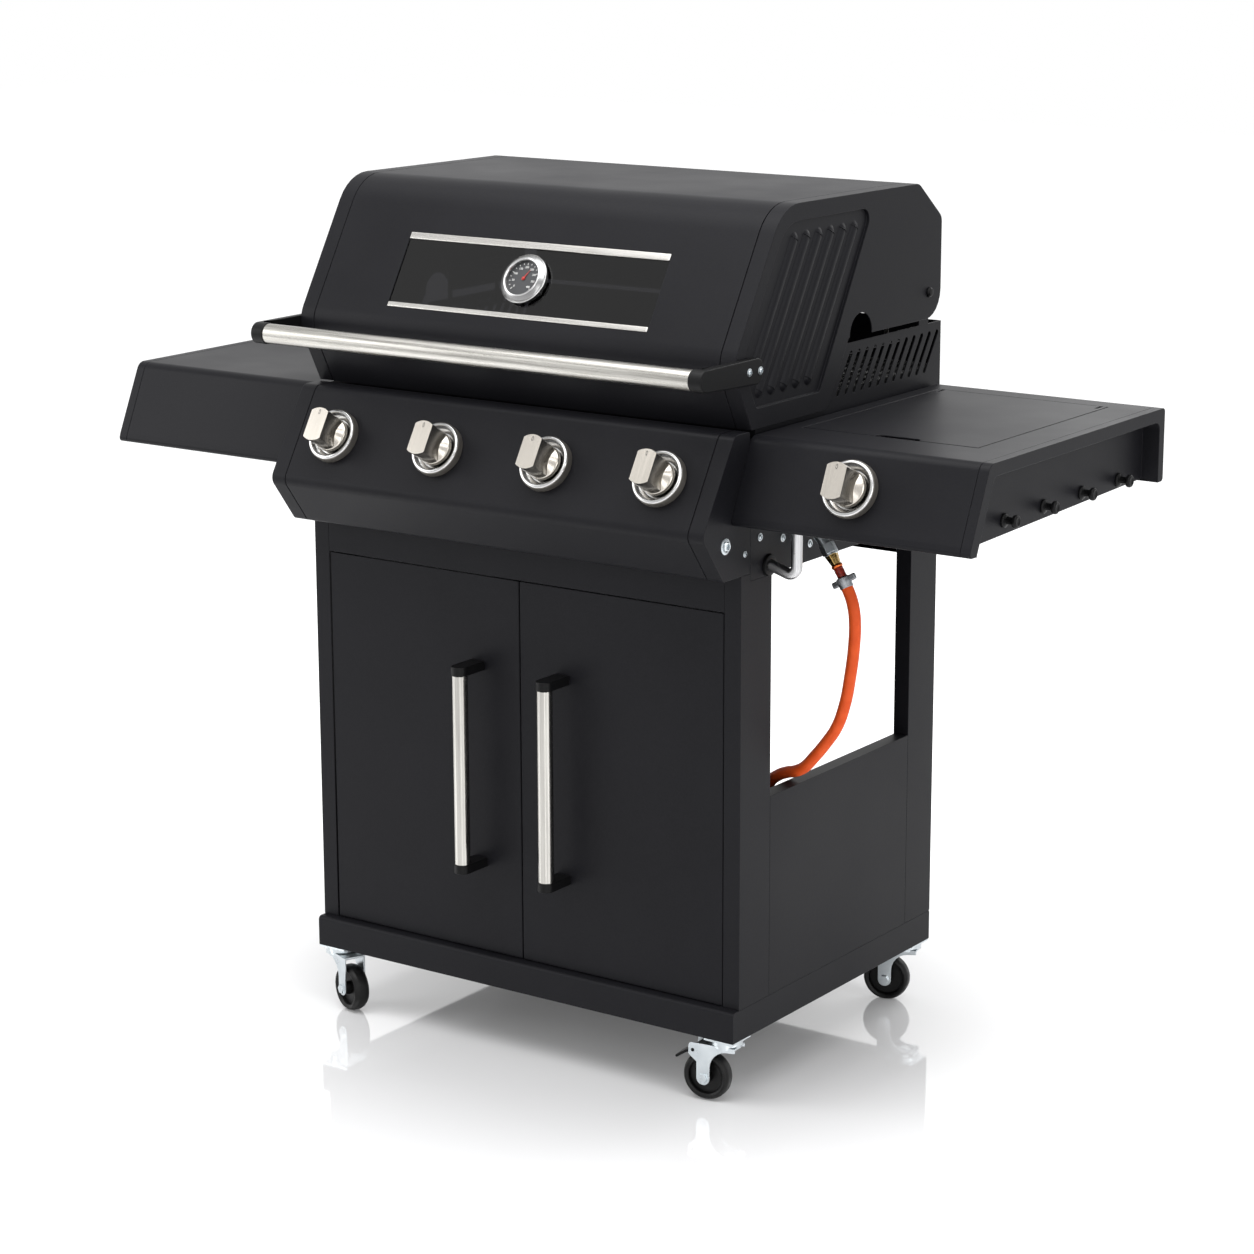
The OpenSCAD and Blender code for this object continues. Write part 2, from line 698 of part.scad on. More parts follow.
hinge_pin_y = cover_y1 - 8;
hinge_pin_z = shelf_z - 5;
hinge_pin_r = 2.5;
rim_z = shelf_z - sheet;
bowl_in = 8;
bowl_h = 50;
bowl_x0 = cover_x0 + bowl_in;
bowl_x1 = cover_x1 - bowl_in;
bowl_y0 = cover_y + bowl_in;
bowl_y1 = cover_y1 + cover_rear_gap + 1;
bowl_floor = shelf_z - bowl_h;
side_burner_y = (bowl_y0 + bowl_y1) / 2;
side_neck_r = 22;

module finger_notch() translate([0, 0, -5]) linear_extrude(10)
    slot([side_knob_x - 21, cover_y], [side_knob_x + 21, cover_y], 18);

module burner_bowl() color(black) placed() difference() {
    union() {
        block([bowl_x0 - sheet, bowl_y0 - sheet, bowl_floor - sheet], [bowl_x1 + sheet, bowl_y1 + sheet, rim_z]);
        block([cover_x0 - 12, cover_y - 12, rim_z - sheet], [cover_x1 + 12, cover_y1 + 14, rim_z]);
    }
    block([bowl_x0, bowl_y0, bowl_floor], [bowl_x1, bowl_y1, rim_z + 1]);
    for (x = [[cover_x0 - 1, bowl_x0 - sheet], [bowl_x1 + sheet, cover_x1 + 1]])
        block([x.x, hinge_pin_y - 14, rim_z - 2 * sheet], [x.y, bowl_y1, rim_z + 1]);
    for (x = [bowl_x0 - sheet, bowl_x1 + sheet]) translate([x - 5, hinge_pin_y, hinge_pin_z]) rotate([0, 90, 0])
        cylinder(h = 10, r = hinge_pin_r + fit);
    translate([cover_x, side_burner_y, bowl_floor - 5]) cylinder(h = 10, r = side_neck_r + fit);
    translate([0, 0, rim_z]) finger_notch();
}

module side_burner() color(zinc) placed() {
    tube_r = 9;
    top = bowl_floor;
    translate([cover_x, side_burner_y, 0]) {
        difference() {
            translate([0, 0, top - 24]) cylinder(h = 24, r = side_neck_r);
            translate([0, 0, top - 20]) cylinder(h = 30, r = side_neck_r - 3);
        }
        translate([0, 0, top]) rotate_extrude() polygon([[side_neck_r - 3, 0], [34, 0], [46, 10], [46, 16], [40, 20],
            [0, 22], [0, 18], [38, 14], [side_neck_r - 3, 4]]);
    }
    difference() {
        rod([side_knob_x, cover_y - 24, side_valve_at.y], [side_knob_x, side_burner_y, side_valve_at.y], tube_r);
        rod([side_knob_x, cover_y - 30, side_valve_at.y], [side_knob_x, side_burner_y - side_neck_r, side_valve_at.y],
            tube_r - 1);
        translate([cover_x, side_burner_y, top - 19.9]) cylinder(h = 40, r = side_neck_r - 2);
    }
}

module pan_support() color(black) placed() translate([cover_x, side_burner_y, bowl_floor]) {
    reach = cover_w / 2 - bowl_in - 6;
    top = 44;
    bar = 6;
    difference() {
        cylinder(h = bar, r = reach);
        translate([0, 0, -1]) cylinder(h = bar + 2, r = reach - bar);
    }
    for (a = [0:90:270]) rotate(a) {
        block([26, -bar / 2, top - 10], [reach - 1, bar / 2, top]);
        block([reach - 1 - bar, -bar / 2, 0], [reach - 1, bar / 2, top]);
    }
}

module side_burner_cover() color(coat) placed() difference() {
    z = rim_z + seam;
    union() {
        block([cover_x0, cover_y, z], [cover_x1, cover_y1, z + sheet]);
        for (side = [-1, 1]) {
            inner = side < 0 ? bowl_x0 : bowl_x1;
            rod([inner - side * 14, hinge_pin_y, hinge_pin_z], [inner - side * 2, hinge_pin_y, hinge_pin_z], 4);
            rod([inner - side * 14, hinge_pin_y, hinge_pin_z], [inner + side * 5, hinge_pin_y, hinge_pin_z],
                hinge_pin_r);
            translate([inner - side * 8 - 6, hinge_pin_y - 2, hinge_pin_z]) cube([12, 4, z - hinge_pin_z + 1]);
        }
    }
    for (x = [bowl_x0 - sheet / 2, bowl_x1 + sheet / 2])
        block([x - sheet / 2 - 1.2, hinge_pin_y - 8, z - 1], [x + sheet / 2 + 1.2, cover_y1 + 1, z + sheet + 1]);
    translate([0, 0, z]) finger_notch();
}

// ---- Gas lines ------------------------------------------------------------------

// The hose's route: out of its wing nut, down beside the cart and into the cabinet
hose_d = 15;
hose_route = [[387.5, 147, 638], [391, 146.6, 632], [394.3, 146.2, 625.5], [398.6, 145.8, 612], [400.7, 145.5, 596],
    [400, 146, 571], [395.5, 145, 528], [389, 143, 489.6], [380, 140.5, 462], [365, 140, 439.3], [348, 140, 418.4],
    [334, 140.5, 403.5], [320, 143, 395.5], [305, 147, 390.5], [289, 152, 383], [273, 158, 370.5],
    [262, 165, 351], [257, 172, 322], [254, 178, 285], [252, 184, 245], [249, 191, 205], [242, 199, 170],
    [227, 207, 147], [205, 214, 135], [182, 219, 133], [171, 219, 133],
    [160, 219, 133]];

// The gas inlet: an elbow out of the rail, a hexagon nut, a brass taper and the hose's wing nut
module gas_fitting() color("#b08d57") placed() {
    elbow = [half_w + 8, feed_at.x, feed_at.y];
    hose_way = unit(hose_route[1] - hose_route[0]);
    wing = hose_route[0] - hose_way * 8;
    taper_end = wing - hose_way * 6;
    nut = [half_w + 29, feed_at.x - 0.5, feed_at.y - 23];
    way = unit(taper_end - nut);
    rod([half_w, feed_at.x, feed_at.y], elbow, 6);
    translate(elbow) sphere(7.6);
    rod(elbow, nut, 7);
    rod(nut - way * 6, nut + way * 7, 10, $fn = 6);
    rod(nut + way * 6, nut + way * 22, 8.5, 6, $fn = 6);
    rod(nut + way * 21, nut + way * 27, 7);
    rod(nut + way * 26, taper_end, 5.8);
    rod(taper_end - hose_way, wing, 5.6);
    rod(wing - hose_way * 5, hose_route[0], 9);
    translate(wing) rotate([0, acos(hose_way.z), atan2(hose_way.y, hose_way.x)]) cube([36, 5, 8], center = true);
}

// A smooth curve through the route's points
function spline(p, i, t) =
    let (a = p[max(i - 1, 0)], b = p[i], c = p[i + 1], d = p[min(i + 2, len(p) - 1)])
    (2 * b + (c - a) * t + (2 * a - 5 * b + 4 * c - d) * t * t + (3 * b - a - 3 * c + d) * t * t * t) / 2;
hose_curve = concat([for (i = [0:len(hose_route) - 2], t = [0, 1 / 3, 2 / 3]) spline(hose_route, i, t)],
    [hose_route[len(hose_route) - 1]]);

module swept_tube(curve, r, sides) {
    last = len(curve) - 1;
    rings = [for (i = [0:last])
        let (ahead = unit(curve[min(i + 1, last)] - curve[max(i - 1, 0)]),
             across_dir = unit(cross(ahead, [0, 1, 0])),
             up = cross(across_dir, ahead))
        for (k = [0:sides - 1]) curve[i] + r * (cos(360 * k / sides) * across_dir + sin(360 * k / sides) * up)];
    walls = [for (i = [0:last - 1], k = [0:sides - 1])
        let (a = i * sides + k, b = i * sides + (k + 1) % sides)
        each [[a, a + sides, b], [b, a + sides, b + sides]]];
    ends = [[for (k = [0:sides - 1]) k], [for (k = [sides - 1:-1:0]) last * sides + k]];
    polyhedron(rings, concat(walls, ends));
}

module gas_hose() color("#e2501e") placed() swept_tube(hose_curve, hose_d / 2, 10);

// The side burner's gas tube: down inside the rail, out under the shelf and up to the valve
module burner_tube() color(steel) placed() {
    elbow_r = 10;
    y = branch_at.x;
    z = branch_at.y;
    valve = [side_knob_x - valve_r - fit, side_valve_at.x, side_valve_at.y - 4];
    stops = [[feed_x, y, feed_at.y - line_r - fit], [feed_x, y, z], [half_w + 4, y, z],
        [half_w + 40, y, z - 11], [half_w + 40, y, valve.z], valve - [28, 0, 0], valve];
    bends = [for (i = [1:len(stops) - 2]) each corner(stops[i - 1], stops[i], stops[i + 1], elbow_r)];
    swept_tube(concat([stops[0]], bends, [valve]), branch_r, 14);
}

module regulator() color("#8d9094") placed() {
    end = hose_route[len(hose_route) - 1];
    body = [end.x - 48, end.y, base_top];
    rod([body.x + 20, end.y, end.z], end, hose_d / 2);
    translate(body) rotate_extrude() polygon([[0, 0], [16, 0], [27, 6], [31, 10], [31, 15], [27, 18], [18, 28],
        [0, 31]]);
    rod([body.x - 20, end.y, base_top + 13], [body.x - 44, end.y, base_top + 13], 8);
    rod([body.x - 44, end.y, base_top + 13], [body.x - 60, end.y, base_top + 13], 13, $fn = 6);
}

// ---- Lid ------------------------------------------------------------------------

lid_dir = [sin(lid_tilt), cos(lid_tilt)];
lid_out = [-cos(lid_tilt), sin(lid_tilt)];
lid_front = [20, lid_z];
lid_nose = lid_front + [-41.7, lid_nose_h];
lid_back = back_y - 14.5;
lid_brow = lid_nose + lid_dir * (lid_h - lid_nose_h) / lid_dir.y;
lid_corners = [[lid_front.x, lid_front.y, 0], [lid_nose.x, lid_nose.y, 40], [lid_brow.x, lid_brow.y, 64],
    [lid_back - 59, lid_z + lid_h - 3, 18], [lid_back, lid_z + lid_h - 49.5, 14]];
lid_path = rounded_path(concat(lid_corners, [[lid_back, lid_z + lid_rear_h, 0]]));
lid_end_path = rounded_path(concat(lid_corners, [[lid_back, hinge_z + 14, 0]]));
lid_side = rounded_loop(concat(lid_corners, [[lid_back, lid_z + lid_rear_h, 36],
    [238.4, lid_z + lid_rear_h, 4], [189.2, lid_z, 24]]));

// The frame of the window: Z points out of the lid and Y up along its face
window_at = lid_nose + lid_dir * window_up;
module on_window() translate([0, window_at.x, window_at.y]) rotate([90 - lid_tilt, 0, 0]) children();

module lid_shell() color(coat) placed() difference() {
    across(-lid_seam_x, lid_seam_x) folded(lid_path, -sheet);
    on_window() block([-window_w / 2, -window_h / 2, -5], [window_w / 2, window_h / 2, 5]);
}

// The field stamped into the lid's side: it follows the lid's front at a distance
stamp_front = 17;
stamp_low = 25;
stamp_top = lid_z + lid_h - 22;
stamp_nose = lid_nose - lid_out * stamp_front + lid_dir * 13;
stamp_brow = stamp_nose + lid_dir * (stamp_top - stamp_nose.y) / lid_dir.y;
stamp = rounded_loop([[29.6, lid_z + stamp_low, 8], [stamp_nose.x, stamp_nose.y, 25],
    [stamp_brow.x, stamp_brow.y, 48], [293, stamp_top, 14], [172, lid_z + stamp_low, 8]]);

// A rounded rib that stands out of the stamped field between two (y, z) points
module rib(a, b, base_x, width, height) intersection() {
    r = (width * width / 4 + height * height) / (2 * height);
    x = base_x + height - r;
    union() {
        rod([x, a.x, a.y], [x, b.x, b.y], r, $fn = 64);
        for (p = [a, b]) translate([x, p.x, p.y]) sphere(r - 0.05, $fn = 64);
    }
    block([base_x - 0.5, min(a.x, b.x) - r, min(a.y, b.y) - r], [base_x + height + 1, max(a.x, b.x) + r,
        max(a.y, b.y) + r]);
}

module lid_end() {
    field_x = lid_x - stamp_depth;
    rib_top = stamp_top - 21;
    rib_low = lid_z + stamp_low + 19;
    difference() {
        union() {
            across(lid_seam_x + cap_groove, lid_x) folded(lid_end_path, -cap_t);
            across(lid_seam_x - cap_lap, lid_seam_x + cap_groove + cap_lap)
                folded(beside(lid_end_path, -sheet - fit), -sheet);
            across(lid_x - sheet, lid_x) polygon(lid_side);
            across(field_x - sheet, lid_x - sheet) polygon(beside(concat(stamp, [stamp[0]]), sheet));
        }
        across(field_x, lid_x + 1) polygon(stamp);
        across(lid_x - 10, lid_x + 1) translate([267, lid_z + lid_rear_h + 2]) circle(26);
        translate([lid_x - 10, hinge_y, hinge_z]) rotate([0, 90, 0]) cylinder(h = 12, d = hinge_d + 2 * fit);
    }
    for (i = [0:rib_count - 1]) {
        top = [116 + i * rib_pitch, rib_top];
        low = i == 0 ? rib_low + 32 : rib_low;
        rib([top.x - tan(lid_tilt) * (rib_top - low), low], top, field_x, rib_w, stamp_depth - 0.4);
    }
}

module lid_ends() color(coat) placed() both_sides() lid_end();

module hinge_bolts() color(black) placed() both_sides() translate([0, hinge_y, hinge_z]) rotate([0, 90, 0]) {
    translate([0, 0, firebox_x - 3 - 5]) cylinder(h = 5, d = 14, $fn = 6);
    translate([0, 0, firebox_x - 4]) cylinder(h = lid_x + 1 - firebox_x + 4, d = hinge_d);
    translate([0, 0, lid_x + seam]) rotate_extrude() polygon([[0, 0], [6.5, 0], [6.5, 1.5], [4.5, 4], [0, 4.6]]);
}

glass_over = 8;
gauge_stem = 10;

module window_glass() color("#101012") placed() on_window() difference() {
    block([-window_w / 2 - glass_over, -window_h / 2 - glass_over, -sheet - fit - glass_t],
        [window_w / 2 + glass_over, window_h / 2 + glass_over, -sheet - fit]);
    translate([0, 0, -sheet - glass_t - 1]) cylinder(h = glass_t + 2, d = gauge_stem + 2);
}

module window_trims() color(steel) placed() on_window() {
    block([-window_w / 2 + seam, window_h / 2 - 9.5, -sheet], [window_w / 2 - seam, window_h / 2 - seam, 1]);
    block([-window_w / 2 + seam, -window_h / 2 + seam, -sheet], [window_w / 2 - seam, -window_h / 2 + 7, 1]);
}

module thermometer() color(steel) placed() on_window() {
    r = gauge_d / 2;
    translate([0, 0, -sheet]) rotate_extrude() polygon([[0, 0], [r - 1, 0], [r, 3], [r, 9], [r - 2, 12],
        [r - 6, 13], [r - 9, 10], [r - 9.5, 8], [0, 8]]);
    translate([0, 0, -sheet - 45]) cylinder(h = 46, d = gauge_stem);
}

handle_at = [-lid_handle_out, lid_z + lid_handle_h];
arm_t = 9;

module lid_handle() color(steel) placed() difference() {
    rod([-lid_x + 10, handle_at.x, handle_at.y], [lid_x - 10, handle_at.x, handle_at.y], lid_handle_d / 2);
    rod([-lid_x, handle_at.x, handle_at.y], [lid_x, handle_at.x, handle_at.y], lid_handle_d / 2 - 1.5);
}

module handle_arms() color(black) placed() both_sides() {
    r = lid_handle_d / 2 + 1;
    rod([lid_x - 10, handle_at.x, handle_at.y], [lid_x, handle_at.x, handle_at.y], r);
    across(lid_x, lid_x + arm_t) {
        translate(handle_at) circle(r);
        polygon(rounded_loop([[handle_at.x, handle_at.y + r, 0], [handle_at.x, handle_at.y - r, 0],
            [30, handle_at.y - r - 5, 12], [30, handle_at.y + r, 12]]));
    }
}

// ---- Doors ----------------------------------------------------------------------

door_x0 = door_gap / 2;
door_x1 = post_x - door_gap;
door_y = 0.7;
pin_reach = sheet + door_gap + 1;

module door() {
    z1 = door_z + door_h;
    difference() {
        union() {
            translate([0, 0, door_z]) linear_extrude(door_h)
                polygon(rounded_loop([[door_x0, door_y, 1.5], [door_x1, door_y, 1.5],
                    [door_x1, door_y + door_d, 0], [door_x0, door_y + door_d, 0]]));
            for (z = [door_z - pin_reach, z1 - 1]) translate([pin_x, pin_y, z])
                cylinder(h = pin_reach + 1, d = pin_d);
        }
        block([door_x0 + sheet, door_y + sheet, door_z + sheet], [door_x1 - sheet, door_y + door_d - sheet, z1 - sheet]);
        block([door_x0 + 18, door_y + sheet, door_z + 18], [door_x1 - 18, door_y + door_d + 1, z1 - 18]);
    }
}

handle_z = door_z + door_h / 2 + 2;

module door_handle() {
    y = door_y - door_handle_out;
    wide = door_handle_d + 2;
    for (end = [-1, 1]) translate([0, 0, handle_z + end * (door_handle_l + door_cap_l) / 2 - door_cap_l / 2])
        linear_extrude(door_cap_l) {
            translate([door_handle_x, y]) circle(wide / 2);
            translate([door_handle_x - wide / 2, y]) square([wide, door_handle_out]);
        }
    translate([door_handle_x, y, handle_z - door_handle_l / 2]) difference() {
        cylinder(h = door_handle_l, d = door_handle_d);
        translate([0, 0, -1]) cylinder(h = door_handle_l + 2, d = door_handle_d - 3);
    }
}

module door_right() color(coat) placed() door();
module door_left() color(coat) placed() mirror([1, 0, 0]) door();
module door_right_handle() color(steel) placed() door_handle();
module door_left_handle() color(steel) placed() mirror([1, 0, 0]) door_handle();

// ---- Casters --------------------------------------------------------------------

// Each caster's place and the direction in which its wheel trails
caster_turn = [338, 188, 197, 200];
caster_side = [-1, 1, 1, -1];
caster_row = [0, 0, 1, 1];
axle_d = 8;
axle_z = wheel_d / 2;
fork_top = race_z - 0.3;
fork_gap = wheel_w / 2 + 2;
fork_t = 2.5;
lever_at = [trail + 14, axle_z + 35];
braked = [1, 3];

module at_caster(i) placed() translate([caster_side[i] * caster_x, caster_y[caster_row[i]], 0])
    rotate(caster_turn[i]) children();

// The fork's legs and top lie round X, the trailing direction
module caster_fork(i) color(zinc) at_caster(i) {
    leg_r = 9;
    top = fork_top - 1;
    far = -17;
    ear = len(search(i, braked)) > 0;
    leg = rounded_loop([[far, top, 0], [far, top - 6, 0], [trail - leg_r, top - 8, 24], [trail - leg_r, axle_z, 0],
        [trail + leg_r, axle_z, 0], [trail + leg_r, top, 0]]);
    difference() {
        union() {
            translate([0, 0, fork_top - 4]) cylinder(h = 4, d = race_d - 4);
            block([far, -fork_gap - fork_t, fork_top - 4], [trail + leg_r, fork_gap + fork_t, top]);
            for (y = [-fork_gap - fork_t, fork_gap]) lengthwise(y, y + fork_t) {
                polygon(leg);
                translate([trail, axle_z]) circle(leg_r);
                if (ear) polygon(rounded_loop([[trail, top, 0], [lever_at.x + 6, top, 5],
                    [lever_at.x + 6, lever_at.y - 6, 5], [trail + leg_r - 2, lever_at.y - 16, 0]]));
            }
        }
        translate([0, 0, fork_top - 12]) cylinder(h = 20, d = king_d + 2 * fit);
        block([-30, -fork_gap, 0], [80, fork_gap, fork_top - 4]);
        if (ear) translate([lever_at.x, 0, lever_at.y]) rotate([90, 0, 0])
            cylinder(h = 80, d = 4 + 2 * fit, center = true);
    }
    translate([trail, fork_gap + fork_t + 2, axle_z]) rotate([90, 0, 0])
        cylinder(h = 2 * (fork_gap + fork_t + 2), d = axle_d);
    for (side = [-1, 1]) translate([trail, side * (fork_gap + fork_t + 1.5) + 1.5, axle_z]) rotate([90, 0, 0])
        cylinder(h = 3, d = 13, $fn = 6);
}

module caster_wheel(i) color(black) at_caster(i) translate([trail, 0, axle_z]) rotate([90, 0, 0]) {
    r = wheel_d / 2;
    w = wheel_w / 2;
    bore = axle_d / 2 + fit;
    rotate_extrude() polygon([[bore, -w - 1.5], [8, -w - 1.5], [9, -4], [r - 9, -4], [r - 8, -w + 2],
        [r - 4, -w], [r - 1.5, -w + 3], [r, -w + 7], [r, w - 7], [r - 1.5, w - 3], [r - 4, w],
        [r - 8, w - 2], [r - 9, 4], [9, 4], [8, w + 1.5], [bore, w + 1.5]]);
}

module brake_lever(i) color(black) at_caster(braked[i]) {
    half = fork_gap - 1;
    translate([lever_at.x, fork_gap + fork_t + 1, lever_at.y]) rotate([90, 0, 0])
        cylinder(h = 2 * (fork_gap + fork_t + 1), d = 4);
    lengthwise(-half, half) {
        translate(lever_at) circle(3.5);
        slot(lever_at, lever_at + [12, -5], 3.5);
        slot(lever_at + [12, -5], lever_at + [24, -13], 3.5);
    }
}

base_pan();
caster_mounts();
front_posts();
rear_posts();
side_panels();
cross_rails();
firebox();
control_panel();
panel_ends();
knob_bezels();
gas_manifold();
burners();
flame_tamers();
cooking_grates();
warming_rack();
shelf_left();
shelf_right();
shelf_ends();
tool_hooks();
burner_bowl();
side_burner();
pan_support();
burner_tube();
gas_fitting();
gas_hose();
regulator();
hinge_bolts();
lid_shell();
lid_ends();
window_glass();
window_trims();
thermometer();
lid_handle();
handle_arms();
door_left();
door_left_handle();
door_right();
door_right_handle();
valve_stem(0);  // valve_stem_1
valve_stem(1);  // valve_stem_2
valve_stem(2);  // valve_stem_3
valve_stem(3);  // valve_stem_4
valve_stem(4);  // valve_stem_5
knob(0);  // knob_1
knob(1);  // knob_2
knob(2);  // knob_3
knob(3);  // knob_4
knob(4);  // knob_5
side_burner_cover();
grease_tray();
caster_fork(0);  // caster_fork_1
caster_fork(1);  // caster_fork_2
caster_fork(2);  // caster_fork_3
caster_fork(3);  // caster_fork_4
caster_wheel(0);  // caster_wheel_1
caster_wheel(1);  // caster_wheel_2
caster_wheel(2);  // caster_wheel_3
caster_wheel(3);  // caster_wheel_4
brake_lever(0);  // brake_lever_1
brake_lever(1);  // brake_lever_2
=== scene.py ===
import json
import math

import bmesh
import bpy
from mathutils import Matrix, Vector


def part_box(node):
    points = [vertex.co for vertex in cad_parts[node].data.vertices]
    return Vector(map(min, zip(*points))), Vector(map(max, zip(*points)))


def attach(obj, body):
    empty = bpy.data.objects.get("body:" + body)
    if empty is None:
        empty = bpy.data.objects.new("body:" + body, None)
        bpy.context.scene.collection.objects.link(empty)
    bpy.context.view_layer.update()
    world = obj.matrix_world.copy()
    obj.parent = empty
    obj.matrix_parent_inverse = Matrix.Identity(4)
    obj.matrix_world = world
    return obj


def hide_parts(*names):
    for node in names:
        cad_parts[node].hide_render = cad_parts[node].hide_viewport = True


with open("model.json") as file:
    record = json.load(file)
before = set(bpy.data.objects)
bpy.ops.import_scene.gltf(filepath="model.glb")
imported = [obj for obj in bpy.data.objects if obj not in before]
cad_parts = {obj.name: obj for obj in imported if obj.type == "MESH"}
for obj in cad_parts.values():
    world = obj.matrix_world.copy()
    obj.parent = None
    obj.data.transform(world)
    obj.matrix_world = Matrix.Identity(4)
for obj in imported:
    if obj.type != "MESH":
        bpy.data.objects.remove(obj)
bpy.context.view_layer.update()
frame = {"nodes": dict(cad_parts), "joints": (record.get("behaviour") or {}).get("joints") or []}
scene = bpy.context.scene

# ---- Studio: camera, sweep and lamps --------------------------------------------
# A white painted studio floor under four large soft boxes, with a tall strip light
# beside the camera, which looks through a long lens at eye height. The floor is lightly
# polished, so the grill shows in it.
eye = Vector((2.39524, -3.37866, 1.54152))
pan, pitch, roll = math.radians(34.975), math.radians(76.219), math.radians(-0.178)
camera = bpy.data.objects.new("camera", bpy.data.cameras.new("camera"))
scene.collection.objects.link(camera)
camera.data.lens = 94.29
camera.data.sensor_width = 36.0
turn = Matrix.Rotation(pan, 4, "Z") @ Matrix.Rotation(pitch, 4, "X")
camera.matrix_world = Matrix.Translation(eye) @ turn @ Matrix.Rotation(roll, 4, "Z")
scene.camera = camera
scene.view_settings.view_transform = "Standard"


def linear(hexed, alpha=1.0):
    """An sRGB hex colour as the linear values that shaders take."""
    parts = [int(hexed[i:i + 2], 16) / 255 for i in (1, 3, 5)]
    return [p / 12.92 if p <= 0.04045 else ((p + 0.055) / 1.055) ** 2.4 for p in parts] + [alpha]


def add(tree, kind, inputs=None, **settings):
    """A shader node with its settings; an input is a value or the socket that feeds it."""
    made = tree.nodes.new("ShaderNode" + kind)
    for name, value in settings.items():
        setattr(made, name, value)
    for name, value in (inputs or {}).items():
        if isinstance(value, bpy.types.NodeSocket):
            tree.links.new(value, made.inputs[name])
        else:
            made.inputs[name].default_value = value
    return made


def looked_at(tree):
    """1 for rays from the lens, off gloss and through glass; 0 for those that only light."""
    rays = add(tree, "LightPath")
    direct = add(tree, "Math", {0: rays.outputs["Is Camera Ray"],
                                1: rays.outputs["Is Glossy Ray"]})
    return add(tree, "Math", {0: direct.outputs[0], 1: rays.outputs["Is Transmission Ray"]},
               use_clamp=True)


# A white room all round, which lights the grill with less than half of what it shows.
world = bpy.data.worlds.new("white_sweep")
scene.world = world
world.use_nodes = True
tree = world.node_tree
tree.nodes.clear()
level = add(tree, "MapRange", {"Value": looked_at(tree).outputs[0], "To Min": 0.42, "To Max": 1.0})
sky = add(tree, "Background", {"Color": linear("#ffffff"), "Strength": level.outputs[0]})
add(tree, "OutputWorld", {"Surface": sky.outputs[0]})

# Polished white paint: a soft shadow under the cart that clears to white around it, and
# a faint sharp mirror image. The shadow is partly cast by the lamps and partly painted:
# the paint's own glow is low near the cart and rises to white away from it.
floor_paint = bpy.data.materials.new("polished_floor_paint")
floor_paint.use_nodes = True
tree = floor_paint.node_tree
tree.nodes.clear()
seen = looked_at(tree)
where = add(tree, "TexCoord")
away = add(tree, "VectorMath", {0: where.outputs["Object"]}, operation="LENGTH")
# Painted shadow: the floor's glow is dim near the cart and rises with the distance from it.
painted_shadow_ramp = add(tree, "MapRange", {"Value": away.outputs["Value"], "From Min": 0.27,
                                "From Max": 0.92, "To Min": 0.12, "To Max": 0.76},
             interpolation_type="SMOOTHSTEP")
glow = add(tree, "Math", {0: seen.outputs[0], 1: painted_shadow_ramp.outputs[0]}, operation="MULTIPLY")
matt = add(tree, "BsdfDiffuse", {"Color": linear("#e9e9ea")})
lift = add(tree, "Emission", {"Color": linear("#ffffff"), "Strength": glow.outputs[0]})
body = add(tree, "AddShader", {0: matt.outputs[0], 1: lift.outputs[0]})
shine = add(tree, "BsdfGlossy", {"Color": linear("#ffffff"), "Roughness": 0.05})
mixed = add(tree, "MixShader", {0: 0.30, 1: body.outputs[0], 2: shine.outputs[0]})
add(tree, "OutputMaterial", {"Surface": mixed.outputs[0]})

bm = bmesh.new()
bmesh.ops.create_grid(bm, x_segments=1, y_segments=1, size=12.0)
floor_mesh = bpy.data.meshes.new("floor")
bm.to_mesh(floor_mesh)
bm.free()
floor = bpy.data.objects.new("floor", floor_mesh)
floor_mesh.materials.append(floor_paint)
scene.collection.objects.link(floor)

# Each lamp by its place, its width and height in metres, and its watts.
aimed_at = Vector((0, 0, 0.55))
for name, place, size, power in (
    ("overhead_box", (0.2, -0.6, 3.1), (3.4, 2.6), 105),
    ("left_box", (-3.0, -2.2, 1.7), (1.6, 2.4), 46),
    ("right_box", (3.4, -0.6, 1.5), (1.4, 2.4), 30),
    ("rear_box", (0.4, 3.2, 2.2), (3.0, 1.4), 40),
    ("front_strip", (2.95, -4.15, 1.4), (1.1, 3.0), 34),
):
    lamp = bpy.data.lights.new(name, "AREA")
    lamp.shape = "RECTANGLE"
    lamp.size, lamp.size_y = size
    lamp.energy = power
    holder = bpy.data.objects.new(name, lamp)
    facing = (aimed_at - Vector(place)).to_track_quat("-Z", "Y")
    holder.matrix_world = Matrix.Translation(place) @ facing.to_matrix().to_4x4()
    scene.collection.objects.link(holder)

# ---- Gas hose and regulator -----------------------------------------------------
# An orange rubber low-pressure hose of 15 mm, held on its tail by a wing nut. It hangs
# into the cabinet, to a cast zinc regulator that lies on the base pan.
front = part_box("front_posts")[0].y


def on_cart(x, y, z):
    """A place from its millimetres across, behind the posts' front, and up."""
    return Vector((x / 1000, y / 1000 + front, z / 1000))


def finish(name, colour, **sockets):
    """A new material with a Principled shader set to these values."""
    made = bpy.data.materials.new(name)
    made.use_nodes = True
    made.node_tree.nodes.clear()
    shader = add(made.node_tree, "BsdfPrincipled", {"Base Color": linear(colour)})
    for socket, value in sockets.items():
        shader.inputs[socket.replace("_", " ")].default_value = value
    add(made.node_tree, "OutputMaterial", {"Surface": shader.outputs[0]})
    return made, made.node_tree, shader


def link(tree, shader, **wires):
    """Wires from nodes to the shader's sockets of these names."""
    for socket, source in wires.items():
        tree.links.new(source.outputs[0], shader.inputs[socket.replace("_", " ")])


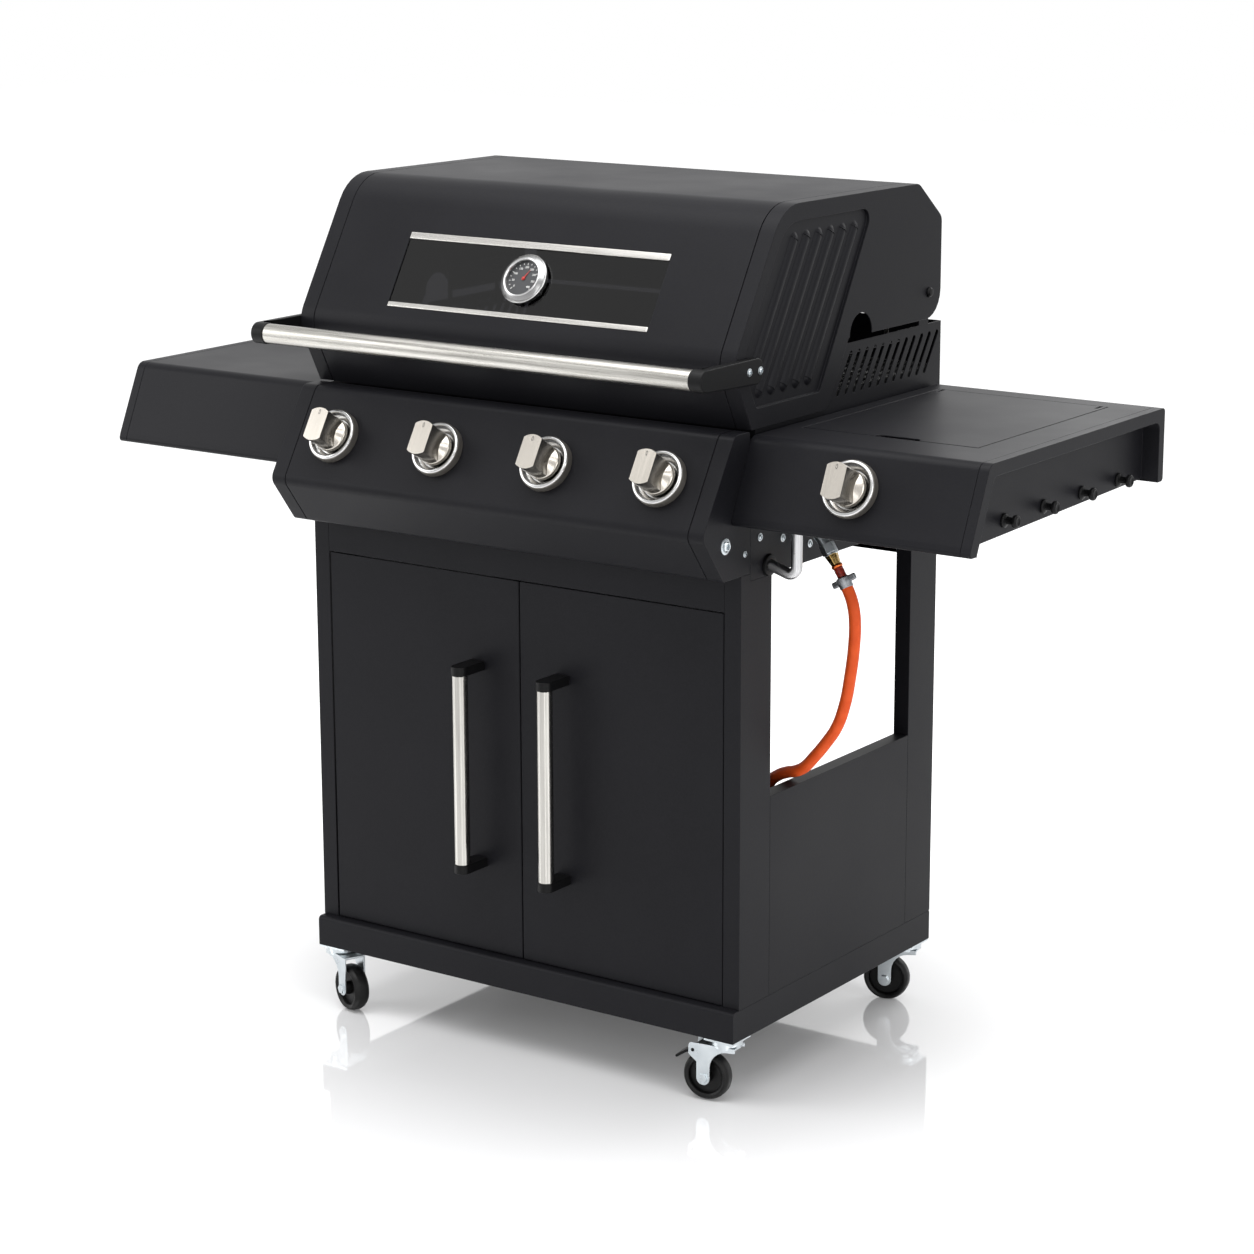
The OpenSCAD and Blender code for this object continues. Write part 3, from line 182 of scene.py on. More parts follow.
def grain(tree, scale, stretch=(1, 1, 1), detail=2.0, rough=0.5):
    """Noise on the piece's own coordinates, finer where stretch is larger."""
    where = add(tree, "TexCoord")
    sized = add(tree, "Mapping", {"Vector": where.outputs["Object"], "Scale": stretch})
    return add(tree, "TexNoise", {"Vector": sized.outputs[0], "Scale": scale, "Detail": detail,
                                  "Roughness": rough})


def shades(tree, source, *stops):
    """A ramp between two (place, hex colour) stops."""
    ramp = add(tree, "ValToRGB", {"Fac": source.outputs[0]})
    for element, (place, colour) in zip(ramp.color_ramp.elements, stops):
        element.position, element.color = place, linear(colour)
    return ramp


def spread(tree, source, low, high):
    """The source's 0.3 to 0.7 spread over low to high, for a roughness."""
    return add(tree, "MapRange", {"Value": source.outputs[0], "From Min": 0.3, "From Max": 0.7,
                                  "To Min": low, "To Max": high})


def relief(tree, source, height, strength=1.0):
    """The source as bumps of a height in metres."""
    return add(tree, "Bump", {"Height": source.outputs[0], "Distance": height,
                              "Strength": strength})


def turned(outline, steps=64):
    """A shape turned on a lathe about Z from its (radius, height) outline."""
    bm = bmesh.new()
    points = [bm.verts.new((r, 0, z)) for r, z in outline]
    lines = [bm.edges.new(pair) for pair in zip(points, points[1:])]
    bmesh.ops.spin(bm, geom=points + lines, cent=(0, 0, 0), axis=(0, 0, 1), dvec=(0, 0, 0),
                   angle=math.tau, steps=steps, use_merge=True)
    bmesh.ops.remove_doubles(bm, verts=bm.verts, dist=1e-6)
    bmesh.ops.recalc_face_normals(bm, faces=bm.faces)
    return bm


def soften(bm, width, segments=2, corner=0.6, clamp=True):
    """Rounds the edges that turn by more than the corner's angle, in radians."""
    sharp = [e for e in bm.edges if e.is_manifold and e.calc_face_angle() > corner]
    bmesh.ops.bevel(bm, geom=sharp, offset=width, segments=segments, profile=0.5, affect="EDGES",
                    material=-1, offset_type="OFFSET", clamp_overlap=clamp)


def hexagon(across, height, soft=0.0006, across_top=None):
    """A hexagon nut or bar, measured across its corners, with softened edges."""
    bm = bmesh.new()
    bmesh.ops.create_cone(bm, cap_ends=True, segments=6, radius1=across / 2,
                          radius2=(across_top or across) / 2, depth=height)
    soften(bm, soft)
    bmesh.ops.translate(bm, verts=bm.verts, vec=(0, 0, height / 2))
    return bm


def moved(bm, place, axis=(0, 0, 1), spun=0.0):
    """The shape with its Z along the axis, from the place on."""
    lean = Vector(axis).to_track_quat("Z", "Y").to_matrix().to_4x4()
    bm.transform(Matrix.Translation(place) @ lean @ Matrix.Rotation(spun, 4, "Z"))
    return bm


def joined(*shapes):
    """Several shapes as one."""
    whole = bmesh.new()
    for shape in shapes:
        part = bpy.data.meshes.new("part")
        shape.to_mesh(part)
        shape.free()
        whole.from_mesh(part)
        bpy.data.meshes.remove(part)
    return whole


def piece(name, bm, material, body, stands_for=()):
    """A finished piece: smooth between creases, in its material, on its body."""
    crease = math.radians(48)
    mesh = bpy.data.meshes.new(name)
    bm.to_mesh(mesh)
    bm.free()
    mesh.materials.append(material)
    made = bpy.data.objects.new(name, mesh)
    scene.collection.objects.link(made)
    mesh.shade_smooth()
    mesh.set_sharp_from_angle(angle=crease)
    made.modifiers.new("even_shading", "WEIGHTED_NORMAL").keep_sharp = True
    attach(made, body)
    if stands_for:
        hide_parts(*stands_for)
    return made


# The route from the wing nut down into the cabinet and along the base pan, in millimetres.
hose_points = [
    (387.5, 147, 638), (391, 146.6, 632), (394.3, 146.2, 625.5), (398.6, 145.8, 612),
    (400.7, 145.5, 596), (400, 146, 571), (395.5, 145, 528), (389, 143, 489.6), (380, 140.5, 462),
    (365, 140, 439.3), (348, 140, 418.4), (334, 140.5, 403.5), (320, 143, 395.5),
    (305, 147, 390.5), (289, 152, 383), (273, 158, 370.5), (262, 165, 351), (257, 172, 322),
    (254, 178, 285), (252, 184, 245), (249, 191, 205), (242, 199, 170), (227, 207, 147),
    (205, 214, 135), (182, 219, 133), (171, 219, 133), (160, 219, 133)]
hose_line = bpy.data.curves.new("gas_hose_line", "CURVE")
hose_line.dimensions = "3D"
hose_line.bevel_depth = 0.0075
hose_line.bevel_resolution = 8
hose_line.resolution_u = 10
hose_line.use_fill_caps = True
run = hose_line.splines.new("BEZIER")
run.bezier_points.add(len(hose_points) - 1)
for knot, place in zip(run.bezier_points, hose_points):
    knot.co = on_cart(*place)
    knot.handle_left_type = knot.handle_right_type = "AUTO"
hose = bpy.data.objects.new("hose", hose_line)
scene.collection.objects.link(hose)
# Extruded rubber: an even orange with a soft shine and a faint cloth print from its cure.
hose_rubber, tree, shader = finish("orange_hose_rubber", "#dd541f", Roughness=0.5,
                                   Specular_IOR_Level=0.22)
mottle = grain(tree, 60, detail=3)
link(tree, shader, Base_Color=shades(tree, mottle, (0.3, "#d64e19"), (0.7, "#e45a24")))
link(tree, shader, Normal=relief(tree, grain(tree, 900), 0.00006))
hose_line.materials.append(hose_rubber)
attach(hose, "cart")
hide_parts("gas_hose")

# Zinc castings have a dull skin with fine pits.
cast_zinc, tree, shader = finish("cast_zinc", "#8f9296", Metallic=1.0, Roughness=0.45)
link(tree, shader, Normal=relief(tree, grain(tree, 1400), 0.00008),
     Roughness=spread(tree, grain(tree, 90), 0.36, 0.55))
# A low round clamshell with a flange at its waist and a cap, the hose's tail on one side
# and the bottle's union on the other.
hose_end = on_cart(*hose_points[-1])
seat = Vector((hose_end.x - 0.048, hose_end.y, 0.125))
shell = [(0, 0), (.015, 0), (.0265, .006), (.0305, .0095), (.0308, .0125), (.0305, .0155),
         (.0268, .018), (.0262, .0195), (.0245, .0205), (.0175, .0275), (.0165, .0295),
         (.006, .0305), (0, .0307)]
tail = [(0, 0), (.0095, 0), (.0095, .010), (.0084, .012), (.0084, .018), (0, .018)]
union = [(0, 0), (.008, 0), (.008, .022), (0, .022)]
regulator = piece("regulator_body", joined(
    moved(turned(shell), seat),
    moved(turned(tail, 48), seat + Vector((0.018, 0, 0.008)), (1, 0, 0)),
    moved(turned(union, 48), seat + Vector((-0.022, 0, 0.013)), (-1, 0, 0)),
), cast_zinc, "cart", ["regulator"])
# Turned brass keeps fine tool rings and a warm mirror shine.
brass, tree, shader = finish("turned_brass", "#b99a5e", Metallic=1.0, Roughness=0.24)
link(tree, shader, Roughness=spread(tree, grain(tree, 500), 0.18, 0.34))
union_nut = piece("regulator_nut",
                  moved(hexagon(0.026, 0.016, 0.0008), seat + Vector((-0.044, 0, 0.013)),
                        (-1, 0, 0)), brass, "cart")

# ---- Gas inlet ------------------------------------------------------------------
# A plated elbow out of the rail with a hexagon nut, a tapered brass body, a copper ring,
# a red sealing collar, and the wing nut that holds the hose. All are screwed together.

# The elbow's arm slants down to the hexagon nut. From there each piece has its place by
# its distance along the way to the wing nut.
elbow = on_cart(338, 150, 705)
nut_at = on_cart(359, 149.5, 682)
hose_start = on_cart(*hose_points[0])
hose_way = (on_cart(*hose_points[1]) - hose_start).normalized()
wing_at = hose_start - hose_way * 0.008
way = (wing_at - hose_way * 0.006 - nut_at).normalized()
slant = (nut_at - elbow).normalized()

# Bright zinc plate: cool, nearly white, with slow clouds that dull it in places.
zinc, tree, shader = finish("bright_zinc_plate", "#c3c8cc", Metallic=1.0, Roughness=0.28)
cloud = grain(tree, 40)
link(tree, shader, Base_Color=shades(tree, cloud, (0.3, "#b9c0c4"), (0.7, "#cbd1d4")),
     Roughness=spread(tree, cloud, 0.26, 0.36))
# Red thread sealant: a dark, glossy, uneven red.
sealant, tree, shader = finish("red_thread_sealant", "#7c1d12", Roughness=0.35)
link(tree, shader, Base_Color=shades(tree, grain(tree, 400), (0.3, "#5e120c"), (0.7, "#9b2a18")))

stub = [(0, -.0085), (.0064, -.0085), (.0064, 0), (0, 0)]
ball = [(0, -.0078), (.0052, -.0058), (.0078, 0), (.0052, .0058), (0, .0078)]
arm = [(0, 0), (.0070, 0), (.0070, .026), (0, .026)]
washer = [(0, 0), (.0082, 0), (.0090, .0006), (.0090, .0026), (.0082, .0032), (0, .0032)]
piece("inlet_elbow", joined(
    moved(turned(stub, 40), elbow, (1, 0, 0)),
    moved(turned(ball, 40), elbow, slant),
    moved(turned(arm, 40), elbow, slant),
    moved(hexagon(0.0205, 0.013), nut_at - way * 0.006, way, 0.3),
    moved(turned(washer, 48), nut_at + way * 0.0065, way),
), zinc, "cart", ["gas_fitting"])
piece("inlet_body", moved(hexagon(0.0176, 0.014, across_top=0.0124), nut_at + way * 0.009, way,
                          0.2), brass, "cart")
# Copper: a soft red-orange metal, dulled by handling.
copper, tree, shader = finish("copper_ring", "#c2622f", Metallic=1.0, Roughness=0.3)
link(tree, shader, Base_Color=shades(tree, grain(tree, 300), (0.3, "#a84f24"), (0.7, "#d3733c")))
ring = [(0, 0), (.0062, 0), (.0070, .0008), (.0072, .0022), (.0068, .0040), (.0056, .0048),
        (0, .0048)]
piece("inlet_ring", moved(turned(ring, 48), nut_at + way * 0.0222, way), copper, "cart")
collar = [(0, 0), (.0056, 0), (.0060, .0008), (.0058, .0035), (.0062, .0045), (.0058, .0075),
          (.0060, .0130), (0, .0130)]
piece("inlet_collar", moved(turned(collar, 48), nut_at + way * 0.0265, way), sealant, "cart")


def facing_frame(place, out, right=Vector((1, 0, 0))):
    """The transform that puts a shape at a place with its Z outwards and its X to the right."""
    return Matrix.Translation(place) @ Matrix((right, out.cross(right), out)).transposed().to_4x4()


wing_span, wing_width, wing_height = 0.036, 0.0052, 0.0080
wings = bmesh.new()
bmesh.ops.create_cube(wings, size=1.0,
                      matrix=Matrix.Diagonal((wing_span, wing_width, wing_height, 1)))
soften(wings, 0.0018, 3)
across_wings = hose_way.cross(Vector((0, 1, 0))).normalized()
wings.transform(facing_frame(wing_at, hose_way, across_wings))
barrel = [(0, -.0048), (.0076, -.0048), (.0094, -.0034), (.0096, .0024), (.0086, .0040),
          (.0086, .0088), (.0080, .0094), (.0072, .0094), (0, .0094)]
piece("hose_wing_nut", joined(moved(turned(barrel, 48), wing_at, hose_way), wings), cast_zinc,
      "cart")

# ---- Cart: base pan, posts, panels and rails ------------------------------------
# Folded steel sheet of 1.5 mm, spot-welded and bolted, then powder coated in a satin
# charcoal. Every cut edge is rounded by the coat.

# Cured powder: a fine orange peel about 2 mm across, drawn coarser than it is so that it
# shows, over slow changes of film thickness that shift its colour and gloss.
coat, tree, shader = finish("satin_charcoal_powder_coat", "#19191c", Roughness=0.42,
                            Specular_IOR_Level=0.09)
film = grain(tree, 5, detail=3)
speck = grain(tree, 420, detail=1)
both = add(tree, "Mix", {"Factor": 0.35, 2: film.outputs[0], 3: speck.outputs[0]})
link(tree, shader, Base_Color=shades(tree, both, (0.35, "#141417"), (0.65, "#19191c")),
     Roughness=spread(tree, film, 0.37, 0.48), Normal=relief(tree, speck, 0.00010, 0.5))


def clad(node, material, body, edge=0.0006, segments=2):
    """The piece that stands for a CAD node: a merged copy with its sharp edges rounded."""
    bm = bmesh.new()
    bm.from_mesh(frame["nodes"][node].data)
    bmesh.ops.remove_doubles(bm, verts=bm.verts, dist=1e-5)
    bmesh.ops.dissolve_limit(bm, angle_limit=math.radians(0.3), verts=bm.verts, edges=bm.edges)
    if edge:
        soften(bm, edge, segments, corner=math.radians(30), clamp=False)
    return piece(node + "_finished", bm, material, body, [node])


for node in ("base_pan", "front_posts", "rear_posts", "side_panels", "cross_rails"):
    clad(node, coat, "cart")

# ---- Casters --------------------------------------------------------------------
# Furniture casters with a pressed, bright zinc fork that swivels on a ball race, a
# solid black wheel on a riveted axle, and a pedal brake on the front right and rear left.
clad("caster_mounts", zinc, "cart", 0.0004)
# Moulded polyurethane: near black with a soft sheen, scuffed a little on the tread.
tyre, tree, shader = finish("black_moulded_wheel", "#090909", Roughness=0.42,
                            Specular_IOR_Level=0.2)
link(tree, shader, Roughness=spread(tree, grain(tree, 160), 0.34, 0.5),
     Normal=relief(tree, grain(tree, 800), 0.00008))
# Nylon and other moulded black plastic: a fine spark texture and a low, even shine.
plastic, tree, shader = finish("moulded_black_plastic", "#0d0d0e", Roughness=0.4,
                               Specular_IOR_Level=0.12)
link(tree, shader, Normal=relief(tree, grain(tree, 1100, detail=1), 0.00006, 0.6))
for i in range(1, 5):
    clad(f"caster_fork_{i}", zinc, f"swivel_{i}", 0.0005)
    clad(f"caster_wheel_{i}", tyre, f"wheel_{i}", 0)
for i in (1, 2):
    clad(f"brake_lever_{i}", plastic, f"brake_{i}", 0.0006)

# ---- Firebox and burners --------------------------------------------------------
# A box of coated sheet with pressed slots in its sides. Four steel burner tubes run
# from front to back under folded flame tamers, cast grates and a wire warming rack lie
# over them, and a tray on runners takes the fat.
clad("firebox", coat, "cart", 0.0004)
# Cast iron under matt porcelain enamel: black, slightly pebbled from the sand mould.
enamel, tree, shader = finish("matt_black_enamel", "#1a1a1b", Roughness=0.48)
link(tree, shader, Normal=relief(tree, grain(tree, 500, detail=3), 0.0002),
     Roughness=spread(tree, grain(tree, 40), 0.4, 0.6))
clad("cooking_grates", enamel, "cart", 0.0012)


def brushed(name, colour, rough, stretch, bright):
    """Steel rubbed or drawn one way: hair lines that run where stretch is small; drawn broad and
    strong on the tubes, they are partly painted reflection bands.
    """
    made, tree, shader = finish(name, colour, Metallic=1.0, Roughness=rough)
    hair_and_reflection_lines = grain(tree, 1, stretch, detail=3, rough=0.7)
    link(tree, shader, Base_Color=shades(tree, hair_and_reflection_lines, (0.25, colour), (0.75, bright)),
         Roughness=spread(tree, hair_and_reflection_lines, rough - 0.03, rough + 0.04),
         Normal=relief(tree, hair_and_reflection_lines, 0.000006, 0.4))
    return made


# Rolled stainless steel: faint hair lines some 0.3 mm apart, drawn over 1 mm apart to show.
along_y = brushed("rolled_stainless_steel", "#b5b2ad", 0.34, (700, 25, 700), "#c9c6c1")
for node, edge in (("burners", 0.0003), ("flame_tamers", 0.0003), ("warming_rack", 0)):
    clad(node, along_y, "cart", edge)
clad("grease_tray", along_y, "drip_tray", 0.0003)

# ---- Control panel --------------------------------------------------------------
# A folded and coated panel with a cap screwed on at each end. A turned bezel is fixed
# round each valve stem, and a cast knob with a broad grip turns in front of it.
clad("control_panel", coat, "cart")
clad("panel_ends", coat, "cart")


def screw(radius):
    """A socket screw over a washer, its seat at the origin."""
    outline = [(0, 0), (1, 0), (1, .10), (.76, .16), (.71, .08), (.64, .08), (.62, .34),
               (.52, .46), (.36, .46), (.31, .14), (0, .12)]
    return turned([(r * radius, z * radius) for r, z in outline], 36)


# A large and a small screw in each end, by radius, distance behind the posts' front and
# height.
sides = (-1, 1)
low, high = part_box("panel_ends")
piece("panel_screws", joined(*[
    moved(screw(radius), (side * high.x, front + y, z), (side, 0, 0))
    for side in sides for radius, y, z in ((0.0098, -0.035, 0.714), (0.0038, 0.008, 0.697))
]), zinc, "cart")
# Satin nickel over a zinc casting: warm pale grey, rubbed up and down the grip.
nickel, tree, shader = finish("satin_nickel", "#b3aea6", Metallic=1.0, Roughness=0.26)
rubbed = grain(tree, 1, (500, 12, 12), detail=1)
link(tree, shader, Base_Color=shades(tree, rubbed, (0.25, "#b0aba3"), (0.75, "#b6b1a9")),
     Roughness=spread(tree, rubbed, 0.25, 0.27))
# Polished chrome: a hard bright mirror that turns dark where the room is dark.
chrome, tree, shader = finish("polished_chrome", "#bababa", Metallic=1.0, Roughness=0.18)
link(tree, shader, Roughness=spread(tree, grain(tree, 30), 0.17, 0.20))
# The bezel's outer wall is left as turned: a dull, warm, broadly shining grey.
dull_wall, tree, shader = finish("turned_bezel_wall", "#8a8680", Metallic=1.0, Roughness=0.5)
link(tree, shader, Roughness=spread(tree, grain(tree, 200), 0.46, 0.55))
# A dark ring on the mark that shows where the knob points: painted shade standing in for the shade
# inside its small embossed groove, flat and slightly uneven.
painted_groove_shade, tree, shader = finish("painted_mark_groove_shade", "#1c1b1a", Roughness=0.6)
link(tree, shader, Base_Color=shades(tree, grain(tree, 900), (0.3, "#141312"), (0.7, "#2b2927")))

bezel_outline = [
    (.006, 0), (.0341, 0), (.0341, .0080), (.0338, .0100), (.0331, .0114), (.0322, .0120),
    (.0302, .0120), (.0295, .0112), (.0291, .0098), (.0287, .0058), (.0277, .0044),
    (.0244, .0036), (.0234, .0022), (.006, .0022), (.006, 0)]
wall_outline = [(.0338, .0004), (.0344, .0004), (.0344, .0096), (.0338, .0104)]
hub_outline = [
    (.0041, .006), (.0216, .006), (.0224, .0072), (.0224, .0102), (.0219, .0118),
    (.0206, .0130), (.0134, .0190), (.0118, .0199), (.0100, .0202), (.0041, .0202),
    (.0041, .006)]
mark_outline = [(.0020, 0), (.0030, 0), (.0030, .0004), (.0020, .0004), (.0020, 0)]
grip_radius, grip_height, grip_middle, grip_half = 0.0221, 0.031, 0.0295, 0.0132
mark_at = Matrix.Translation((0, 0.0165, 0.0447)) @ Matrix.Diagonal((0.45, 1, 1, 1))
joints = {joint["name"]: joint for joint in frame["joints"]}
for i in range(1, 6):
    joint = joints[f"knob_{i}_turn"]
    local = facing_frame(Vector(joint["pos_m"]), Vector(joint["axis"]).normalized())
    bezel = turned(bezel_outline, 96)
    bezel.transform(local)
    piece(f"bezel_{i}", bezel, chrome, "cart", ["knob_bezels"] if i == 1 else [])
    wall = turned(wall_outline, 96)
    wall.transform(local)
    piece(f"bezel_{i}_wall", wall, dull_wall, "cart")
    grip = bmesh.new()
    bmesh.ops.create_cone(grip, cap_ends=True, segments=128, radius1=grip_radius,
                          radius2=grip_radius, depth=grip_height)
    bmesh.ops.translate(grip, verts=grip.verts, vec=(0, 0, grip_middle))
    for side in sides:
        bmesh.ops.bisect_plane(grip, geom=grip.verts[:] + grip.edges[:] + grip.faces[:],
                               clear_outer=True, plane_co=(side * grip_half, 0, 0),
                               plane_no=(side, 0, 0))
        bmesh.ops.holes_fill(grip, edges=grip.edges)
    soften(grip, 0.0022, 4)
    knob = joined(turned(hub_outline, 96), grip)
    knob.transform(local)
    piece(f"knob_{i}_casting", knob, nickel, f"knob_{i}", [f"knob_{i}"])
    # The pointer mark: a thin dark ring of painted shade on the grip's top edge.
    mark = turned(mark_outline, 40)
    mark.transform(local @ mark_at)
    piece(f"knob_{i}_mark", mark, painted_groove_shade, f"knob_{i}")
    clad(f"valve_stem_{i}", along_y, f"stem_{i}", 0)

# ---- Gas manifold and bent tube -------------------------------------------------
# A plated manifold behind the panel feeds the valves, and a bent aluminium tube takes
# the gas out through a grommet in the right rail to the side burner.
clad("gas_manifold", zinc, "cart", 0)
# Drawn aluminium: an even, slightly dull silver with a long soft shine.
aluminium, tree, shader = finish("drawn_aluminium", "#b4b4b5", Metallic=1.0, Roughness=0.3)
link(tree, shader, Roughness=spread(tree, grain(tree, 90), 0.27, 0.34))
clad("burner_tube", aluminium, "cart", 0)
rail_x, tube_y, tube_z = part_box("front_posts")[1].x, 0.060, 0.6745
grommet = [(.0074, -.002), (.0130, -.002), (.0138, .0005), (.0128, .0035), (.0090, .0045),
           (.0074, .0040), (.0074, -.002)]
piece("tube_grommet", moved(turned(grommet, 48), (rail_x, front + tube_y, tube_z), (1, 0, 0)),
      plastic, "cart")
piece("rail_screws", joined(*[
    moved(screw(0.0050), (rail_x, front + y, z), (1, 0, 0))
    for y, z in ((0.041, 0.712), (0.092, 0.702), (0.154, 0.684))
]), zinc, "cart")

# ---- Side shelves, side burner and tool hooks -----------------------------------
# Each shelf is one folded sheet with a separate rim at its outer end. The right one
# holds a burner in a bowl under a flush cover, and four turned pegs for tools.
for node in ("shelf_left", "shelf_right", "shelf_ends"):
    clad(node, coat, "cart")
clad("side_burner_cover", coat, "burner_cover")
clad("burner_bowl", enamel, "cart")
clad("pan_support", enamel, "cart", 0.001)
clad("side_burner", zinc, "cart", 0)
peg_outline = [
    (0, 0), (.0082, 0), (.0085, .0008), (.0085, .0024), (.0075, .0034), (.0048, .0046),
    (.0044, .0060), (.0044, .0112), (.0050, .0126), (.0074, .0138), (.0079, .0148),
    (.0079, .0172), (.0073, .0184), (.0060, .0192), (.0050, .0193), (.0040, .0184),
    (.0016, .0181), (0, .0181)]
peg_count, first_peg, peg_pitch = 4, 0.008, 0.0965
low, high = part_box("tool_hooks")
piece("tool_pegs", joined(*[
    moved(turned(peg_outline, 48),
          (low.x, low.y + first_peg + step * peg_pitch, (low.z + high.z) / 2), (1, 0, 0))
    for step in range(peg_count)
]), plastic, "cart", ["tool_hooks"])

# ---- Lid ------------------------------------------------------------------------
# A folded lid skin between two pressed ends with stamped fields and ribs, hung on a
# bolt each side. A tinted window between steel trims and a tube handle are on it.
clad("lid_shell", coat, "lid")
clad("lid_ends", coat, "lid", 0.0007)
clad("hinge_bolts", plastic, "cart", 0.0004)
# Smoked tempered glass of 4 mm: almost black, with a clear hard reflection.
glass, tree, shader = finish("smoked_glass", "#1c1c1f", Roughness=0.03, Transmission_Weight=1.0,
                             IOR=1.4)
link(tree, shader, Roughness=spread(tree, grain(tree, 12), 0.02, 0.05))
clad("window_glass", glass, "lid", 0.0004)
# Trim ground along its length: a bright, slightly streaked silver.
along_x = brushed("brushed_stainless_trim", "#b3b1ad", 0.24, (20, 700, 700), "#bdbbb7")
clad("window_trims", along_x, "lid", 0.0012, segments=3)

# Drawn stainless tube: light and dark lines along its whole length, drawn some 4 mm wide
# and strong to show: the die's lines, and painted reflection bands along the tube as well.
along_tube = brushed("drawn_stainless_tube", "#86847f", 0.27, (5, 240, 240), "#bbb9b4")


def open_tube(radius, length, wall=0.0015, rounding=0.0004):
    """A tube that stands on its end, with both ends softened."""
    return turned([(radius - wall, 0), (radius - rounding, 0), (radius, rounding),
                   (radius, length - rounding), (radius - rounding, length),
                   (radius - wall, length), (radius - wall, 0)], 96)


low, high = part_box("lid_handle")
tube = open_tube((high.z - low.z) / 2, high.x - low.x)
piece("lid_handle_tube", moved(tube, (low.x, (low.y + high.y) / 2, (low.z + high.z) / 2),
                               (1, 0, 0)), along_tube, "lid", ["lid_handle"])
clad("handle_arms", plastic, "lid", 0.0016, segments=3)
low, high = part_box("handle_arms")
piece("handle_screws", joined(*[
    moved(screw(0.0050), (side * high.x, front + y, z), (side, 0, 0))
    for side in sides for y, z in ((0.0, 0.9166), (0.0237, 0.9158))
]), zinc, "lid")

# ---- Thermometer ----------------------------------------------------------------
# A bimetal thermometer screwed through the window: a turned bezel with polished rims
# round a printed tin dial, with a flat red hand.

# It sits on the window's slope, up from the lid's nose and sunk a little into the glass.
window_tilt = math.radians(31.2)
out = Vector((0, -math.cos(window_tilt), math.sin(window_tilt)))
rise = Vector((0, math.sin(window_tilt), math.cos(window_tilt)))
lid_nose = Vector((0, front - 0.0217, 0.9246))
up_the_lid, sunk = 0.084, 0.0015
upright = facing_frame(lid_nose + rise * up_the_lid - out * sunk, out)
bezel = turned([(.0215, .0062), (.0226, .0064), (.0228, .0092), (.0233, .0112), (.0242, .0122),
                (.0254, .0125), (.0266, .0121), (.0303, .0094), (.0318, .0080), (.0325, .0064),
                (.0325, .0044), (.0316, .0030), (.0300, .0024), (.0300, 0), (.0215, 0),
                (.0215, .0062)], 128)
bezel.transform(upright)
# Steel turned on a lathe and left satin: a soft broad shine between polished rims.
turned_steel, tree, shader = finish("turned_satin_steel", "#909090", Metallic=1.0, Roughness=0.24)
link(tree, shader, Roughness=spread(tree, grain(tree, 60), 0.21, 0.28))
piece("thermometer_bezel", bezel, turned_steel, "lid", ["thermometer"])
inner_rim = [(.0231, .0108), (.0236, .0125), (.0246, .0130), (.0256, .0128), (.0262, .0120)]
outer_rim = [(.0316, .0078), (.0324, .0074), (.0328, .0064), (.0324, .0054), (.0316, .0052)]
rims = joined(turned(inner_rim, 128), turned(outer_rim, 128))
rims.transform(upright)
piece("thermometer_rims", rims, chrome, "lid")
# Printed tin under a clear lacquer: dark grey ink with a sharp thin gloss over it.
dial_ink, tree, shader = finish("printed_dial", "#1f2124", Roughness=0.4, Coat_Weight=0.4,
                                Coat_Roughness=0.02)
link(tree, shader, Base_Color=shades(tree, grain(tree, 700), (0.3, "#1d1f22"), (0.7, "#222427")))
dial = turned([(0, .0070), (.0227, .0070), (.0227, .0062), (0, .0062)], 96)
dial.transform(upright)
piece("thermometer_dial", dial, dial_ink, "lid")
# Screen-printed white ink and the hand's red enamel: even, flat, slightly grainy.
white_ink, tree, shader = finish("white_dial_print", "#e2e2e0", Roughness=0.4)
link(tree, shader, Base_Color=shades(tree, grain(tree, 900), (0.3, "#d8d8d6"), (0.7, "#ececea")))
red_ink, tree, shader = finish("red_dial_hand", "#b3261e", Roughness=0.35)
link(tree, shader, Base_Color=shades(tree, grain(tree, 900), (0.3, "#a3201a"), (0.7, "#c02c22")))

# The scale runs clockwise from zero at the lower left: 16 steps with a long tick at
# every fourth, and a figure at every second.
scale_start, scale_sweep, scale_steps = 225, 270, 16
tick_end, tick_width, tick_level = 0.0208, 0.0007, 0.0071
figure_ring, figure_size, figure_level = 0.0150, 0.0038, 0.0072
marks = []
for step in range(scale_steps + 1):
    angle = math.radians(scale_start - scale_sweep * step / scale_steps)
    long = 0.0030 if step % 4 == 0 else 0.0018
    tick = bmesh.new()
    bmesh.ops.create_cube(tick, size=1.0, matrix=Matrix.Rotation(angle, 4, "Z")
                          @ Matrix.Translation((tick_end - long / 2, 0, tick_level))
                          @ Matrix.Diagonal((long, tick_width, 0.0003, 1)))
    marks.append(tick)
for step in range(0, scale_steps + 1, 2):
    angle = math.radians(scale_start - scale_sweep * step / scale_steps)
    words = bpy.data.curves.new("number", "FONT")
    words.body, words.size, words.extrude = str(25 * step), figure_size, 0.0001
    words.align_x, words.align_y = "CENTER", "CENTER"
    holder = bpy.data.objects.new("number", words)
    figure = bmesh.new()
    figure.from_mesh(bpy.data.meshes.new_from_object(holder))
    bpy.data.objects.remove(holder)
    figure.transform(Matrix.Translation((figure_ring * math.cos(angle),
                                         figure_ring * math.sin(angle), figure_level)))
    marks.append(figure)
print_marks = joined(*marks)
print_marks.transform(upright)
piece("thermometer_print", print_marks, white_ink, "lid")

